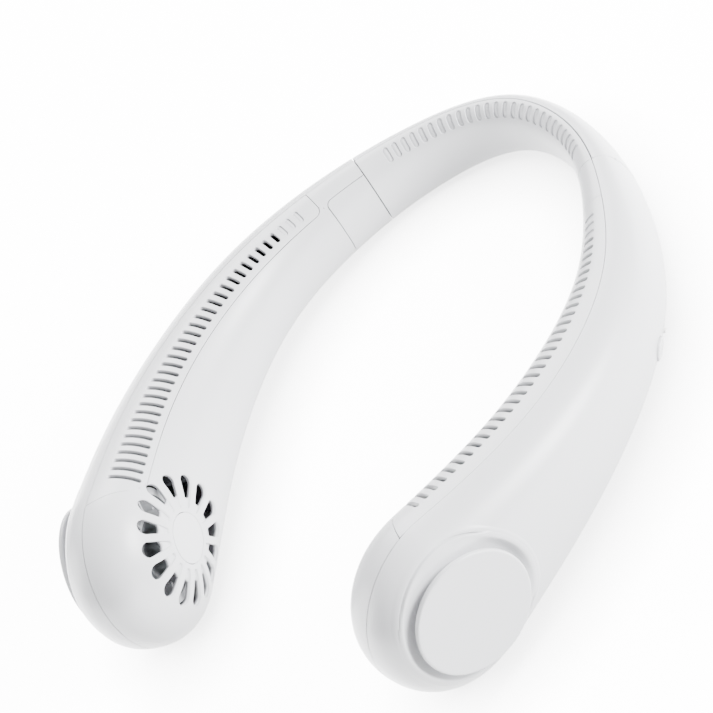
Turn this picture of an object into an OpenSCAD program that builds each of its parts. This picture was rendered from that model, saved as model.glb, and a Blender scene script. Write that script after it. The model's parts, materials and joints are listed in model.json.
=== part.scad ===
/* [Body outline] */
// Distance from the middle plane to the widest control point of the centreline
half_span = 81; // [76:1:88]
// Distance from the neck band to the last control point of the centreline
reach = 190; // [178:1:204]
// Lift of the centreline at the middle of the neck band
neck_rise = 2.7; // [0:0.1:4]
// Height of the neck band at its middle
neck_height = 23.7; // [21:0.1:27]
// Thickness of the neck band at its middle
neck_thick = 12.7; // [12.4:0.1:14]
// Width of the shell beside the intake bezel, where an arm's round end begins
bezel_rim = 5.8; // [4:0.1:8]
// Thickness of an arm at its round end
end_thick = 39.8; // [38.5:0.1:42]
// Greatest roll of an arm's section about the centreline, in degrees
arm_roll = 9.5; // [0:0.5:11]
// Exponent of the rounded sections, where 2 is an ellipse
section_round = 2.31; // [2.15:0.01:2.6]
// Exponent of the round end seen from above
end_round = 2.32; // [2.15:0.01:2.6]

// Distance from the middle of the neck band to where it rests on a table
rest_reach = 46; // [40:1:52]

/* [Shells] */
// Wall of the moulded shells
wall = 1.8; // [1.5:0.1:2.1]
// Width of the open seam between two shells
seam = 0.24; // [0.16:0.02:0.4]
// Angle of the seam at the top of the arms, up from the outer side, in degrees
top_seam_turn = 87; // [80:1:92]
// Angle of the vent strip's inner edge, in degrees
strip_turn = 136; // [128:1:142]
// Distance from the end of the hinge cover to the start of the vent strip
strip_gap = 2.8; // [1:0.1:8]
// Distance from the far end of the vent strip to the end of the arm's taper
strip_stop = 3.6; // [2:0.1:8]

/* [Air slots] */
// Spacing of the slots along an arm
slot_pitch = 3.92; // [3.6:0.01:4.4]
// Width of a slot
slot_w = 1.7; // [1.2:0.1:2.2]
// Length of the longest slot, next to the fan
slot_long = 12; // [9:0.1:13]
// Length of the shortest open slot, next to the hinge
slot_short = 5; // [3:0.1:7]
// Number of open slots in an arm
slot_count = 32; // [20:1:34]
// Distance from the first slot to the end of the arm's taper
slot_first = 7; // [6:0.1:12]
// Angle of the row of slots, up from the outer side, in degrees
slot_turn = 114; // [108:1:118]
// Number of blind slots between the open ones and the hinge
blind_count = 3; // [0:1:3]
// Length of the blind ovals in the neck band
oval_long = 6.6; // [3:0.1:7]
// Width of the blind ovals
oval_w = 2.1; // [1.4:0.1:2.4]
// Depth of the blind ovals
oval_deep = 0.5; // [0.3:0.1:0.8]
// Number of blind ovals in the neck band
oval_count = 26; // [10:2:26]

/* [Fan axis] */
// Turn of the fan axis towards the tip of the arm, in degrees
fan_yaw = 7; // [0:1:8]
// Turn of the fan axis upwards, in degrees
fan_pitch = 3; // [0:1:4]
// Shift of the fan axis back from the middle of the round end
fan_back = 0.7; // [0:0.1:1.5]
// Shift of the fan axis above the middle of the round end
fan_up = 1.8; // [0:0.1:2.4]

/* [Intake side] */
// Open gap round the cover over the intake
cover_gap = 1.3; // [0.8:0.1:3]
// Thickness of the cover
cover_t = 1.8; // [1.4:0.1:2.4]
// Depth of the cover's outer face below the widest part of the arm
cover_sink = 1.3; // [0.4:0.1:2]
// Height of the gap behind the cover, where air goes in
intake_gap = 2.4; // [1.8:0.1:4]
// Chamfer round the cover's outer edge
cover_chamfer = 0.6; // [0.3:0.1:1]
// Radius of the pegs that carry the cover
peg_r = 1.6; // [1.2:0.1:2]
// Distance of the pegs from the cover's edge
peg_inset = 3.4; // [2.6:0.1:4.6]
// Number of pegs
peg_count = 4; // [3:1:6]
// Width of the bezel's sloping dish
dish_w = 2.7; // [2:0.1:3.4]
// Distance from the scroll wall's inner face to the foot of the dish
dish_gap = 0.7; // [0.4:0.1:1.2]
// Thickness of the bezel's floor
floor_t = 1.4; // [1:0.1:1.8]
// Width of the bezel's floor over the impeller's blades
eye_lap = 6.8; // [5:0.1:8]
// Width of the ribs across the air opening
rib_w = 1.8; // [1.2:0.1:2.4]

/* [Grille side] */
// Number of petal-shaped openings round the grille hub
petal_count = 16; // [12:1:16]
// Distance from the petals' outer ends to the bezel's outer radius, seen along the fan axis
petal_inset = 2.1; // [1.4:0.1:3]
// Radius of a petal's wide end
petal_r = 2.7; // [2.2:0.1:3]
// Radius of a petal's narrow end
petal_tip_r = 1.2; // [0.8:0.1:1.5]
// Distance from the hub disc's edge to the middle of a petal's narrow end
petal_web = 5.6; // [4.4:0.1:8]
// Width of the hub disc beyond the motor base
hub_lap = 0.4; // [0.2:0.1:1.2]
// Thickness of the hub disc
hub_t = 1; // [0.6:0.1:1.2]
// Depth of the hub disc's pocket below the widest part of the arm
hub_sink = 1.3; // [1.1:0.1:1.5]

/* [Impeller] */
// Outer radius of the impeller
impeller_r = 20; // [18:0.1:20.4]
// Open gap between the impeller's hub and its blades
blade_gap = 1.35; // [0.8:0.05:2]
// Thickness of a blade
blade_t = 1; // [0.8:0.1:1.4]
// Number of blades
blade_count = 11; // [7:1:13]
// Radius of a blade's curve
blade_curve_r = 12; // [10:0.5:16]
// Distance from the blades' upper edges to the bezel's floor
blade_drop = 1.8; // [1:0.1:3]
// Distance from the blades' lower edges to the motor's seat
blade_lift = 8.1; // [7.8:0.1:10]
// Thickness of the impeller's plate and rings
plate_t = 1.2; // [0.8:0.1:1.4]
// Width of the rings that join the blade tips
ring_w = 2.4; // [1.6:0.1:3]

/* [Motor] */
// Radius of the motor shaft
shaft_r = 1; // [0.8:0.05:1.2]
// Outer radius of the bearing bush
bush_r = 2.1; // [1.8:0.1:2.3]
// Outer radius of the bearing tube on the motor base
tube_r = 3.1; // [2.9:0.1:3.3]
// Outer radius of the steel rotor cup
cup_r = 10; // [9.6:0.1:10.4]
// Wall of the rotor cup
cup_t = 0.8; // [0.6:0.1:1]
// Radial thickness of the magnet ring
magnet_t = 1; // [0.8:0.1:1.2]
// Gap between the magnets and the stator
air_gap = 0.45; // [0.3:0.05:0.6]
// Number of stator teeth
tooth_count = 9; // [6:3:12]
// Width of a stator tooth
tooth_w = 1.2; // [1:0.1:1.4]
// Thickness of the stator stack
stack_t = 5; // [4:0.1:5.4]
// Gap between the motor base and the rotor cup
cup_gap = 2.3; // [1.6:0.1:2.8]
// Depth of the rotor cup
cup_deep = 11.4; // [10.5:0.1:11.8]
// Thickness of the grille's hub under the motor base, with the hub disc's pocket
seat_t = 2.1; // [1.9:0.1:2.3]
// Thickness of the motor base plate
base_t = 1.2; // [0.9:0.1:1.4]
// Radius of the motor base plate
base_r = 8.4; // [7.8:0.1:8.6]
// Radius of the motor screws' shanks
screw_r = 0.8; // [0.6:0.1:1]
// Radius of the motor screws' heads
screw_head_r = 1.5; // [1.3:0.1:1.7]
// Height of the motor screws' heads
screw_head_h = 0.9; // [0.6:0.1:1.1]
// Distance of the motor screws from the fan axis
screw_ring = 5.9; // [5.4:0.1:6.4]
// Number of motor screws
screw_count = 3; // [2:1:4]

/* [Air path and battery] */
// Gap between the impeller and the scroll wall round it
scroll_gap = 1.2; // [0.8:0.1:2]
// Thickness of the scroll and duct walls
duct_t = 1.2; // [1:0.1:1.5]
// Distance from the scroll wall's lower edge to the blades' lower edges
scroll_drop = 0.6; // [0.4:0.1:1]
// Start of the scroll wall, round the fan axis from the hinge side, in degrees
scroll_from = 70; // [60:1:90]
// Length of the scroll wall round the fan axis, in degrees
scroll_turn = 250; // [220:1:265]
// Gap between the duct wall and the battery under it
duct_gap = 0.6; // [0.4:0.1:2]
// Radius of a battery cell
cell_r = 9.2; // [7.5:0.1:9.3]
// Length of a battery cell
cell_l = 65; // [50:1:66]
// Height of the battery's axis below the middle of the section
cell_drop = 5.4; // [4.9:0.1:5.8]
// Thickness of the two saddles under the battery
saddle_t = 2.4; // [1.6:0.1:4]
// Distance of the saddles from the middle of the battery
saddle_reach = 20; // [12:0.5:26]
// Radius of the steel contact on the battery
contact_r = 3; // [2:0.1:4]
// Height of the steel contact
contact_h = 0.8; // [0.5:0.1:1.2]

/* [Hinges] */
// Distance from the middle of the neck band to a hinge, along the centreline
hinge_reach = 61; // [56:0.5:66]
// Distance of the hinge pin from the outer skin
pin_inset = 3.1; // [3:0.1:3.4]
// Radius of the hinge pin
pin_r = 1; // [0.8:0.05:1.1]
// Radius of the hinge knuckles
knuckle_r = 1.9; // [1.7:0.1:2]
// Height of the whole row of knuckles
knuckle_row = 19; // [16:0.5:20]
// Height of the arm's knuckle
knuckle_mid = 8; // [6:0.5:9]
// Thickness of the friction washers
washer_t = 0.5; // [0.3:0.1:0.8]
// Thickness of the hinge leaves
leaf_t = 2; // [1.5:0.1:2.2]
// Length of the hinge leaves from the pin
leaf_l = 11; // [8:0.5:12]
// Depth of the leaves' inner faces below the pin
leaf_drop = 4.6; // [4.4:0.1:5]
// Swing of an arm outwards, in degrees
swing = 12; // [5:1:14]
// Open gap between an arm and the neck band
joint_gap = 0.4; // [0.3:0.05:0.6]
// Length of the hinge cover along the arm
hinge_cover_l = 18.2; // [14:0.1:18.4]
// Angle of the hinge cover's upper edge, in degrees
hinge_cover_from = 127; // [120:1:132]
// Angle of the hinge cover's lower edge, in degrees
hinge_cover_turn = 234; // [225:1:240]

/* [Controls] */
// Gap between the control board under the power button and the battery
board_gap = 1.6; // [1:0.1:4]
// Angle of the row of controls, up from the outer side, in degrees
button_turn = -22; // [-30:1:-15]
// Radius of the power button
button_r = 4; // [3:0.1:4.4]
// Height of the button above the skin
button_proud = 0.6; // [0.3:0.1:1]
// Travel of the button
button_travel = 0.5; // [0.3:0.1:0.7]
// Depth of the button's foot below the skin
button_deep = 4.4; // [4.2:0.1:4.8]
// Radius of the light pipe beside the button
pipe_r = 0.9; // [0.6:0.1:1.2]
// Distance from the button to the light pipe
pipe_gap = 7.7; // [7:0.1:9]
// Depth of the control board below the skin
board_deep = 8.4; // [8.2:0.1:8.8]
// Length of the control board
board_l = 26; // [22:0.5:28]
// Width of the control board
board_w = 11; // [8:0.5:12]
// Thickness of the boards
board_t = 1; // [0.8:0.1:1.2]
// Side of the push switch
switch_side = 5; // [4:0.1:6]
// Gap between the control board and the charging socket's board
usb_gap = 0.5; // [0.3:0.1:3]
// Angle of the charging socket, up from the outer side, in degrees
usb_turn = -48; // [-52:1:-42]
// Width of the charging socket
usb_w = 9; // [8.6:0.05:9.2]
// Height of the charging socket
usb_h = 3.2; // [3:0.05:3.4]
// Length of the charging socket
usb_l = 7.3; // [6.8:0.1:7.8]
// Wall of the charging socket's steel case
usb_t = 0.3; // [0.25:0.05:0.4]
// Radius of the cable through the neck band
cable_r = 1.2; // [0.8:0.1:1.4]

/* [Hidden] */

// Overrun of every cut past the face it leaves by
over = 1;
// Clearance between pieces that are fixed to each other
fit = 0.05;
// Clearance of a shaft or pin that turns in its bore
run = 0.03;
// Clearance between pieces that move past each other
free = 0.3;
// Smooth step count of round pieces
$fn = 48;

// Radii of the fan's rings, from the impeller outwards
scroll_r = impeller_r + scroll_gap;
dish_r = scroll_r + dish_gap;
cover_r = dish_r - cover_gap;
peg_ring = cover_r - peg_inset;
bezel_r = dish_r + dish_w;
eye_r = impeller_r - eye_lap;
petal_reach = bezel_r - petal_inset;
hub_r = base_r + hub_lap;
petal_tip_ring = hub_r + petal_web;
end_height = 2 * (bezel_r + bezel_rim);
// Levels along the fan axis, counted outwards from the middle of the arm's thickness
cover_level = end_thick / 2 - cover_sink;
floor_level = cover_level - cover_t - intake_gap;
hub_level = end_thick / 2 - hub_sink;
seat_level = seat_t - hub_level;
blade_top = floor_level - floor_t - blade_drop;
blade_bottom = seat_level + blade_lift;
scroll_bottom = blade_bottom - scroll_drop;
cup_top = seat_level + base_t + cup_gap + cup_deep;

// Control points of the centreline, from the neck band's middle to the end of the taper
span_shares = [0, 0.463, 0.754, 0.968, 1, 0.936, 0.793];
reach_shares = [-0.03, 0.0605, 0.219, 0.403, 0.607, 0.807, 1];
rise_shares = [1, -0.6, 0, 0, 0, 0, 0];
// Growth of the section from the neck band to the round end
height_shares = [0, 0.112, 0.208, 0.265, 0.443, 0.703, 1];
thick_shares = [0, 0.038, 0.256, 0.583, 0.789, 0.9, 1];
roll_shares = [-0.2, -0.4, -0.42, 0.33, 1, 0.79, 0.16];

heights = [for (s = height_shares) (neck_height + (end_height - neck_height) * s) / 2];
thicks = [for (s = thick_shares) (neck_thick + (end_thick - neck_thick) * s) / 2];

// One knot of a table: mirrored at the neck, straight or level past its end
function knot(p, i, odd, level) =
    let (n = len(p) - 1)
    i < 0 ? (odd ? -p[-i] : p[-i])
    : i <= n ? p[i]
    : level ? p[n - 1]
    : 2 * p[n] - p[n - 1];

function spline_weights(t) =
    [pow(1 - t, 3), 3 * pow(t, 3) - 6 * t * t + 4, -3 * pow(t, 3) + 3 * t * t + 3 * t + 1, pow(t, 3)] / 6;

function slope_weights(t) =
    [-pow(1 - t, 2), 3 * t * t - 4 * t, -3 * t * t + 2 * t + 1, t * t] / 2;

function blend(p, i, weights, odd, level) =
    weights[0] * knot(p, i - 1, odd, level) + weights[1] * knot(p, i, odd, level)
    + weights[2] * knot(p, i + 1, odd, level) + weights[3] * knot(p, i + 2, odd, level);

function cell(p, u) = min(floor(u * (len(p) - 1)), len(p) - 2);

// Value and slope of a table at u, where 0 is the neck's middle and 1 the end of the taper
function along(p, u, odd = false, level = false) =
    let (i = cell(p, u))
    blend(p, i, spline_weights(u * (len(p) - 1) - i), odd, level);

function slope(p, u, odd = false, level = false) =
    let (i = cell(p, u))
    (len(p) - 1) * blend(p, i, slope_weights(u * (len(p) - 1) - i), odd, level);

function unit(v) = v / norm(v);

function mirrored(p, u) = u < 0 ? [-p[0], p[1], p[2]] : p;

function line_point(u) =
    let (a = abs(u))
    mirrored([half_span * along(span_shares, a, true),
              -reach * along(reach_shares, a),
              neck_rise * along(rise_shares, a)], u);

function line_slope(u) =
    let (a = abs(u), s = [half_span * slope(span_shares, a, true),
                          -reach * slope(reach_shares, a),
                          neck_rise * slope(rise_shares, a)])
    u < 0 ? [s[0], -s[1], -s[2]] : s;

function tangent(u) = unit(line_slope(min(u, 1)));

// Length of the centreline from the neck's middle to the end of the taper
length_steps = 24;
line_steps = [for (i = [1:length_steps])
    norm(line_point(i / length_steps) - line_point((i - 1) / length_steps))];
function total(v, i = 0) = i < len(v) ? v[i] + total(v, i + 1) : 0;
line_length = total(line_steps);
function share_at(distance) = distance / line_length;

last = len(heights) - 1;
taper = atan((heights[last] - heights[last - 1]) * last / line_length);
end_r = heights[last] / cos(taper);

function roll(u) = arm_roll * along(roll_shares, min(abs(u), 1)) * (u < 0 ? -1 : 1);

// Upward and outward directions of the section at u
function section_up(u) =
    let (t = tangent(u), up0 = unit([0, 0, 1] - t[2] * t), out0 = cross(up0, t))
    cos(roll(u)) * up0 + sin(roll(u)) * out0;
function section_out(u) = cross(section_up(u), tangent(u));

// Past u = 1 the arm turns into its round end, which closes at u = 2
function end_turn(u) = (u - 1) * (90 + taper) - taper;
function half_h(u, inset = 0) =
    u <= 1 ? along(heights, abs(u)) - inset : (end_r - inset) * cos(end_turn(u));
function half_w(u, inset = 0) =
    u <= 1 ? along(thicks, abs(u), level = true) - inset
    : (along(thicks, 1, level = true) - inset)
      * pow(1 - pow(max(0, sin(end_turn(u))), end_round), 1 / end_round);
function centre(u, inset = 0) =
    u <= 1 ? line_point(u)
    : line_point(1) + tangent(1) * ((end_r - inset) * sin(end_turn(u)) + end_r * sin(taper));

function rounded(v) = sign(v) * pow(abs(v), 2 / section_round);

// A point of the skin at u, a degrees up from the outer side, set in by inset
function skin(u, a, inset = 0) =
    centre(u, inset) + half_w(u, inset) * rounded(cos(a)) * section_out(u)
    + half_h(u, inset) * rounded(sin(a)) * section_up(u);

// Outward direction of the skin's section there
function skin_out(u, a) =
    let (e = 2 - 2 / section_round,
         c = sign(cos(a)) * pow(abs(cos(a)), e) / half_w(u),
         s = sign(sin(a)) * pow(abs(sin(a)), e) / half_h(u))
    unit(c * section_out(u) + s * section_up(u));

hinge_u = share_at(hinge_reach);
hinge_half_w = half_w(hinge_u);
pin_out = hinge_half_w - pin_inset;
// An arm's end face leans back outside the pin, which leaves room for the swing
function relief(u, a, inset) =
    share_at(max(0, half_w(u, inset) * rounded(cos(a)) - pin_out) * tan(swing));

function seam_turn(u) = atan(seam / 2 / half_h(min(u, 1)));

// How far a rounded shape reaches one way, from the parts of its two half sizes that way
function reach_of(a, b, round) =
    let (q = round / (round - 1))
    pow(pow(abs(a), q) + pow(abs(b), q), 1 / q);

// Lies the fan on a table: both round ends and the neck band touch it
rest_u = share_at(rest_reach);
end_centre = line_point(1) + tangent(1) * end_r * sin(taper);
function low_reach(u, down) =
    reach_of(half_w(u) * section_out(u) * down, half_h(u) * section_up(u) * down, section_round);
function lean_back(a) =
    asin((end_r - low_reach(rest_u, [0, sin(a), -cos(a)])
          + (line_point(rest_u)[2] - end_centre[2]) * cos(a)) / (line_point(rest_u)[1] - end_centre[1]));
lean = lean_back(lean_back(lean_back(0)));
rest_drop = end_r + end_centre[1] * sin(lean) - end_centre[2] * cos(lean);
back_way = [0, cos(lean), sin(lean)];
front_y = end_centre * back_way - reach_of(
    end_r * norm([tangent(1) * back_way, section_up(1) * back_way]),
    half_w(1) * section_out(1) * back_way, end_round);
back_y = line_point(0) * back_way + low_reach(0, back_way);

// Stations along an arm and round its end
arm_steps = 20;
end_steps = 9;
end_stop = 1.985;
end_growth = 1.4;
arm_u0 = share_at(hinge_reach + joint_gap / 2);
arm_us = [for (i = [0:arm_steps]) arm_u0 + (1 - arm_u0) * i / arm_steps];
// The first station of the round end is where it rests on a table
end_us = concat([1 + (taper - lean) / (90 + taper)],
    [for (i = [1:end_steps]) 1 + (end_stop - 1) * (1 - pow(1 - i / end_steps, end_growth))]);

// Closed solid between an outer and an inner grid of points
module sheet(outer, inner) {
    m = len(outer);
    n = len(outer[0]);
    o = m * n;
    rows = [0:m - 2];
    cols = [0:n - 2];
    points = concat([for (r = outer) each r], [for (r = inner) each r]);
    outer_faces = [for (i = rows, j = cols)
        each [[i * n + j, (i + 1) * n + j, (i + 1) * n + j + 1],
              [i * n + j, (i + 1) * n + j + 1, i * n + j + 1]]];
    inner_faces = [for (f = outer_faces) [o + f[0], o + f[2], o + f[1]]];
    low_faces = [for (i = rows)
        each [[(i + 1) * n, i * n, o + i * n], [(i + 1) * n, o + i * n, o + (i + 1) * n]]];
    high_faces = [for (i = rows, a = i * n + n - 1)
        each [[a, a + n, o + a + n], [a, o + a + n, o + a]]];
    near_faces = [for (j = cols) each [[j, j + 1, o + j + 1], [j, o + j + 1, o + j]]];
    far_faces = [for (j = cols, a = (m - 1) * n + j)
        each [[a + 1, a, o + a], [a + 1, o + a, o + a + 1]]];
    polyhedron(points, concat(outer_faces, inner_faces, low_faces, high_faces, near_faces, far_faces));
}

// Closed solid inside a row of rings of points
module bar(rings) {
    m = len(rings);
    n = len(rings[0]);
    points = [for (r = rings) each r];
    faces = [for (i = [0:m - 2], j = [0:n - 1], k = (j + 1) % n)
        each [[i * n + j, (i + 1) * n + j, (i + 1) * n + k], [i * n + j, (i + 1) * n + k, i * n + k]]];
    near = [for (j = [0:n - 1]) j];
    far = [for (j = [0:n - 1]) m * n - 1 - j];
    polyhedron(points, concat(faces, [near, far]));
}

function grid(us, low, high, n, inset, lean = false) =
    [for (i = [0:len(us) - 1]) [for (j = [0:n])
        let (a = low[i] + (high[i] - low[i]) * j / n,
             u = us[i] + (lean && i == 0 ? relief(us[i], a, inset) : 0))
        skin(u, a, inset)]];

module shell(us, low, high, n, lean = false, t = wall) {
    sheet(grid(us, low, high, n, 0, lean), grid(us, low, high, n, t, lean));
}

// Whole inside of an arm's skin, set in by inset, with the outer shell's own facets
shell_sides = 12;
module arm_body(us, inset = 0) {
    bar([for (u = us)
        let (low = seam_turn(u) - 90, step = (top_seam_turn - 2 * seam_turn(u) + 90) / shell_sides)
        [for (j = [0:shell_sides]) skin(u, low + step * j, inset),
         for (j = [1:shell_sides]) skin(u, top_seam_turn + (270 - top_seam_turn) * j / (shell_sides + 1), inset)]]);
}

// Lays its children on the table
module laid() {
    translate([0, -(front_y + back_y) / 2, rest_drop]) rotate([-lean, 0, 0]) children();
}
module left_side() {
    laid() mirror([1, 0, 0]) children();
}

// Places children with x towards the neck, y up and z outwards
module at(p, back, up, out) {
    multmatrix([[back[0], up[0], out[0], p[0]],
                [back[1], up[1], out[1], p[1]],
                [back[2], up[2], out[2], p[2]]]) children();
}
module at_section(u) {
    at(centre(u), -tangent(u), section_up(u), section_out(u)) children();
}
// The same on the skin, with z square to the skin
module on_skin(u, a) {
    out = skin_out(u, a);
    at(skin(u, a), -tangent(u), cross(out, -tangent(u)), out) children();
}

fan_out = unit(section_out(1) + tan(fan_yaw) * tangent(1) + tan(fan_pitch) * section_up(1));
fan_top = unit(section_up(1) - (section_up(1) * fan_out) * fan_out);
fan_side = cross(fan_top, fan_out);
fan_centre = end_centre - fan_back * tangent(1) + fan_up * section_up(1);
module at_fan() {
    at(fan_centre, fan_side, fan_top, fan_out) children();
}

module ring(r_out, r_in, h) {
    linear_extrude(h) difference() {
        circle(r_out);
        circle(r_in);
    }
}
module slot_shape(l, w) {
    square([w, l - w], center = true);
    for (s = [-1, 1]) translate([0, s * (l - w) / 2]) circle(w / 2);
}
module slot_cut(u, l, w, deep) {
    on_skin(u, slot_turn) translate([0, 0, -deep]) linear_extrude(deep + wall) slot_shape(l, w);
}

// Shells of the neck band
neck_steps = 16;
neck_u = share_at(hinge_reach - joint_gap / 2);
neck_us = [for (i = [0:neck_steps]) neck_u * (2 * i / neck_steps - 1)];
// On the left half of the band the section turns over, so its angles follow the middle plane
function neck_skin(u, a, inset) = mirrored(skin(abs(u), a, inset), u);
function neck_grid(low, high, n, inset) =
    [for (u = neck_us) [for (j = [0:n]) neck_skin(u, low + (high - low) * j / n, inset)]];
module neck_shell(low, high, n) {
    sheet(neck_grid(low, high, n, 0), neck_grid(low, high, n, wall));
}
module knuckle_room() {
    at_section(hinge_u) translate([0, 0, pin_out]) rotate([90, 0, 0])
        cylinder(r = knuckle_r + free, h = knuckle_row + 2 * free, center = true);
}
module neck_outer_shell() {
    color("whitesmoke") laid() difference() {
        neck_shell(seam_turn(0) - 90, top_seam_turn - seam_turn(0), 10);
        knuckle_room();
        mirror([1, 0, 0]) knuckle_room();
    }
}
module neck_inner_shell() {
    color("whitesmoke") laid() difference() {
        neck_shell(top_seam_turn + seam_turn(0), 270 - seam_turn(0), 16);
        for (i = [1:oval_count / 2]) {
            slot_cut(share_at((i - 0.5) * slot_pitch), oval_long, oval_w, oval_deep);
            mirror([1, 0, 0]) slot_cut(share_at((i - 0.5) * slot_pitch), oval_long, oval_w, oval_deep);
        }
    }
}
cable_sides = 8;
module neck_cable() {
    cable_us = [for (i = [0:neck_steps]) share_at(hinge_reach - leaf_l) * (2 * i / neck_steps - 1)];
    color("dimgray") laid() bar([for (u = cable_us) [for (j = [0:cable_sides - 1])
        mirrored(centre(abs(u)) - (half_w(abs(u), wall + fit) - cable_r) * section_out(abs(u))
            + cable_r * (cos(360 * j / cable_sides) * section_out(abs(u))
                         + sin(360 * j / cable_sides) * section_up(abs(u))), u)]]);
}

// Shells of an arm
all_us = concat(arm_us, end_us);
module outer_shell() {
    low = [for (u = all_us) seam_turn(u) - 90];
    high = [for (u = all_us) top_seam_turn - seam_turn(u)];
    difference() {
        shell(all_us, low, high, shell_sides, lean = true);
        knuckle_room();
        at_fan() cylinder(r = bezel_r + fit, h = end_thick);
        children();
    }
}
strip_u0 = share_at(hinge_reach + hinge_cover_l + strip_gap);
strip_u1 = 1 - share_at(strip_stop);
cover_u1 = share_at(hinge_reach + hinge_cover_l);
// The inner shell steps back round the vent strip
inner_us = concat(
    [for (u = arm_us) if (u < strip_u0 - share_at(seam)) u],
    [strip_u0 - share_at(seam), strip_u0],
    [for (u = arm_us) if (u > strip_u0 + share_at(seam) && u < strip_u1) u],
    [strip_u1, strip_u1 + share_at(seam), 1], end_us);
function beside_strip(u) = u > strip_u0 - share_at(seam / 2) && u < strip_u1 + share_at(seam / 2);
module petal() {
    wide = petal_reach - petal_r;
    translate([wide, 0]) circle(petal_r);
    translate([petal_tip_ring, 0]) circle(petal_tip_r);
    polygon([[petal_tip_ring, -petal_tip_r], [wide, -petal_r], [wide, petal_r], [petal_tip_ring, petal_tip_r]]);
}
module inner_shell() {
    low = [for (u = inner_us) (beside_strip(u) ? strip_turn : top_seam_turn) + seam_turn(u)];
    high = [for (u = inner_us) 270 - seam_turn(u)];
    difference() {
        union() {
            difference() {
                shell(inner_us, low, high, 12);
                hinge_cover_room();
            }
            at_fan() {
                translate([0, 0, -hub_level - fit]) cylinder(r = base_r + fit, h = hub_level + fit + seat_level);
                translate([0, 0, wall / 2 - hub_level])
                    cylinder(r = hub_r + hub_t, h = hub_level - wall / 2 + seat_level);
            }
        }
        at_fan() {
            translate([0, 0, -end_thick]) cylinder(r = hub_r + fit, h = end_thick - hub_level);
            translate([0, 0, -end_thick]) linear_extrude(end_thick - hub_level / 2)
                for (i = [0:petal_count - 1]) rotate(360 * i / petal_count) petal();
            translate([0, 0, seat_level]) cylinder(r = base_r + 2 * fit, h = base_t + wall);
            motor_screw_places() translate([0, 0, -screw_reach]) cylinder(r = screw_r + fit, h = screw_reach + over);
        }
    }
}

// The hinge cover lies in a window of the inner shell, open towards the neck band
hinge_cover_us = [for (i = [0:3]) arm_u0 + (cover_u1 - arm_u0) * i / 3];
module hinge_cover_room() {
    us = concat([arm_u0 - share_at(over)], hinge_cover_us, [cover_u1 + share_at(seam)]);
    low = [for (u = us) hinge_cover_from - seam_turn(u)];
    high = [for (u = us) hinge_cover_turn + seam_turn(u)];
    sheet(grid(us, low, high, 8, -over), grid(us, low, high, 8, wall + over));
}
module hinge_cover() {
    shell(hinge_cover_us, [for (u = hinge_cover_us) hinge_cover_from + seam_turn(u)],
        [for (u = hinge_cover_us) hinge_cover_turn - seam_turn(u)], 8);
}

strip_steps = 22;
module vent_strip() {
    us = [for (i = [0:strip_steps]) strip_u0 + (strip_u1 - strip_u0) * i / strip_steps];
    difference() {
        shell(us, [for (u = us) top_seam_turn + seam_turn(u)], [for (u = us) strip_turn - seam_turn(u)], 5);
        for (i = [0:slot_count + blind_count - 1])
            slot_cut(1 - share_at(slot_first + i * slot_pitch),
                slot_long + (slot_short - slot_long) * min(1, i / (slot_count - 1)), slot_w,
                i < slot_count ? 2 * wall : oval_deep);
    }
}

// Intake side of the fan
module intake_bezel() {
    intersection() {
        at_fan() {
            rotate_extrude() polygon([
                [eye_r, floor_level - floor_t], [bezel_r, floor_level - floor_t], [bezel_r, end_thick],
                [bezel_r - fit, end_thick], [dish_r, floor_level], [eye_r, floor_level]]);
            for (i = [0, 1]) rotate(90 * i) translate([-eye_r - fit, -rib_w / 2, floor_level - floor_t])
                cube([2 * (eye_r + fit), rib_w, floor_t]);
        }
        arm_body(concat([for (u = arm_us) if (u > 1 - share_at(2 * bezel_r)) u], end_us));
    }
}
module intake_cover() {
    back = cover_level - cover_t;
    at_fan() {
        rotate_extrude() polygon([[0, back], [cover_r, back], [cover_r, cover_level - cover_chamfer],
                                  [cover_r - cover_chamfer, cover_level], [0, cover_level]]);
        for (i = [0:peg_count - 1]) rotate(360 * (i + 0.5) / peg_count) translate([peg_ring, 0, floor_level])
            cylinder(r = peg_r, h = back + fit - floor_level);
    }
}

module hub_cap() {
    at_fan() translate([0, 0, -hub_level - hub_t]) cylinder(r = hub_r, h = hub_t);
}

// Turning parts of the fan
hub_in_r = cup_r + fit;
hub_out_r = hub_in_r + plate_t;
blade_start_r = hub_out_r + blade_gap;
module blade() {
    // The blade's arc leaves the hub side square to the radius and leans back at the rim
    reach_r = impeller_r - blade_t;
    mid = (blade_start_r + reach_r) / 2;
    turn = 2 * asin((reach_r - blade_start_r) / 2 / blade_curve_r);
    translate([mid, -blade_curve_r * cos(turn / 2), blade_bottom])
        rotate_extrude(angle = turn, start = 90 - turn / 2)
            translate([blade_curve_r - blade_t / 2, 0]) square([blade_t, blade_top - blade_bottom]);
}
module impeller() {
    at_fan() {
        translate([0, 0, cup_top + fit]) ring(impeller_r, shaft_r + fit, plate_t);
        translate([0, 0, cup_top - cup_deep / 2]) ring(hub_out_r, hub_in_r, cup_deep / 2 + plate_t);
        for (i = [0:blade_count - 1]) rotate(360 * i / blade_count) blade();
        for (z = [blade_bottom - plate_t / 2, blade_top - plate_t / 2])
            translate([0, 0, z]) ring(impeller_r, impeller_r - ring_w, plate_t);
    }
}
module rotor_cup() {
    at_fan() {
        translate([0, 0, cup_top - cup_t]) ring(cup_r, shaft_r + fit, cup_t);
        translate([0, 0, cup_top - cup_deep]) ring(cup_r, cup_r - cup_t, cup_deep);
    }
}
stack_bottom = cup_top - cup_deep + cup_t + free;
magnet_in_r = cup_r - cup_t - fit - magnet_t;
module magnet_ring() {
    at_fan() translate([0, 0, cup_top - cup_deep + fit])
        ring(cup_r - cup_t - fit, magnet_in_r, stack_t + 2 * cup_t);
}
shaft_bottom = seat_level + base_t + run;
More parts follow.
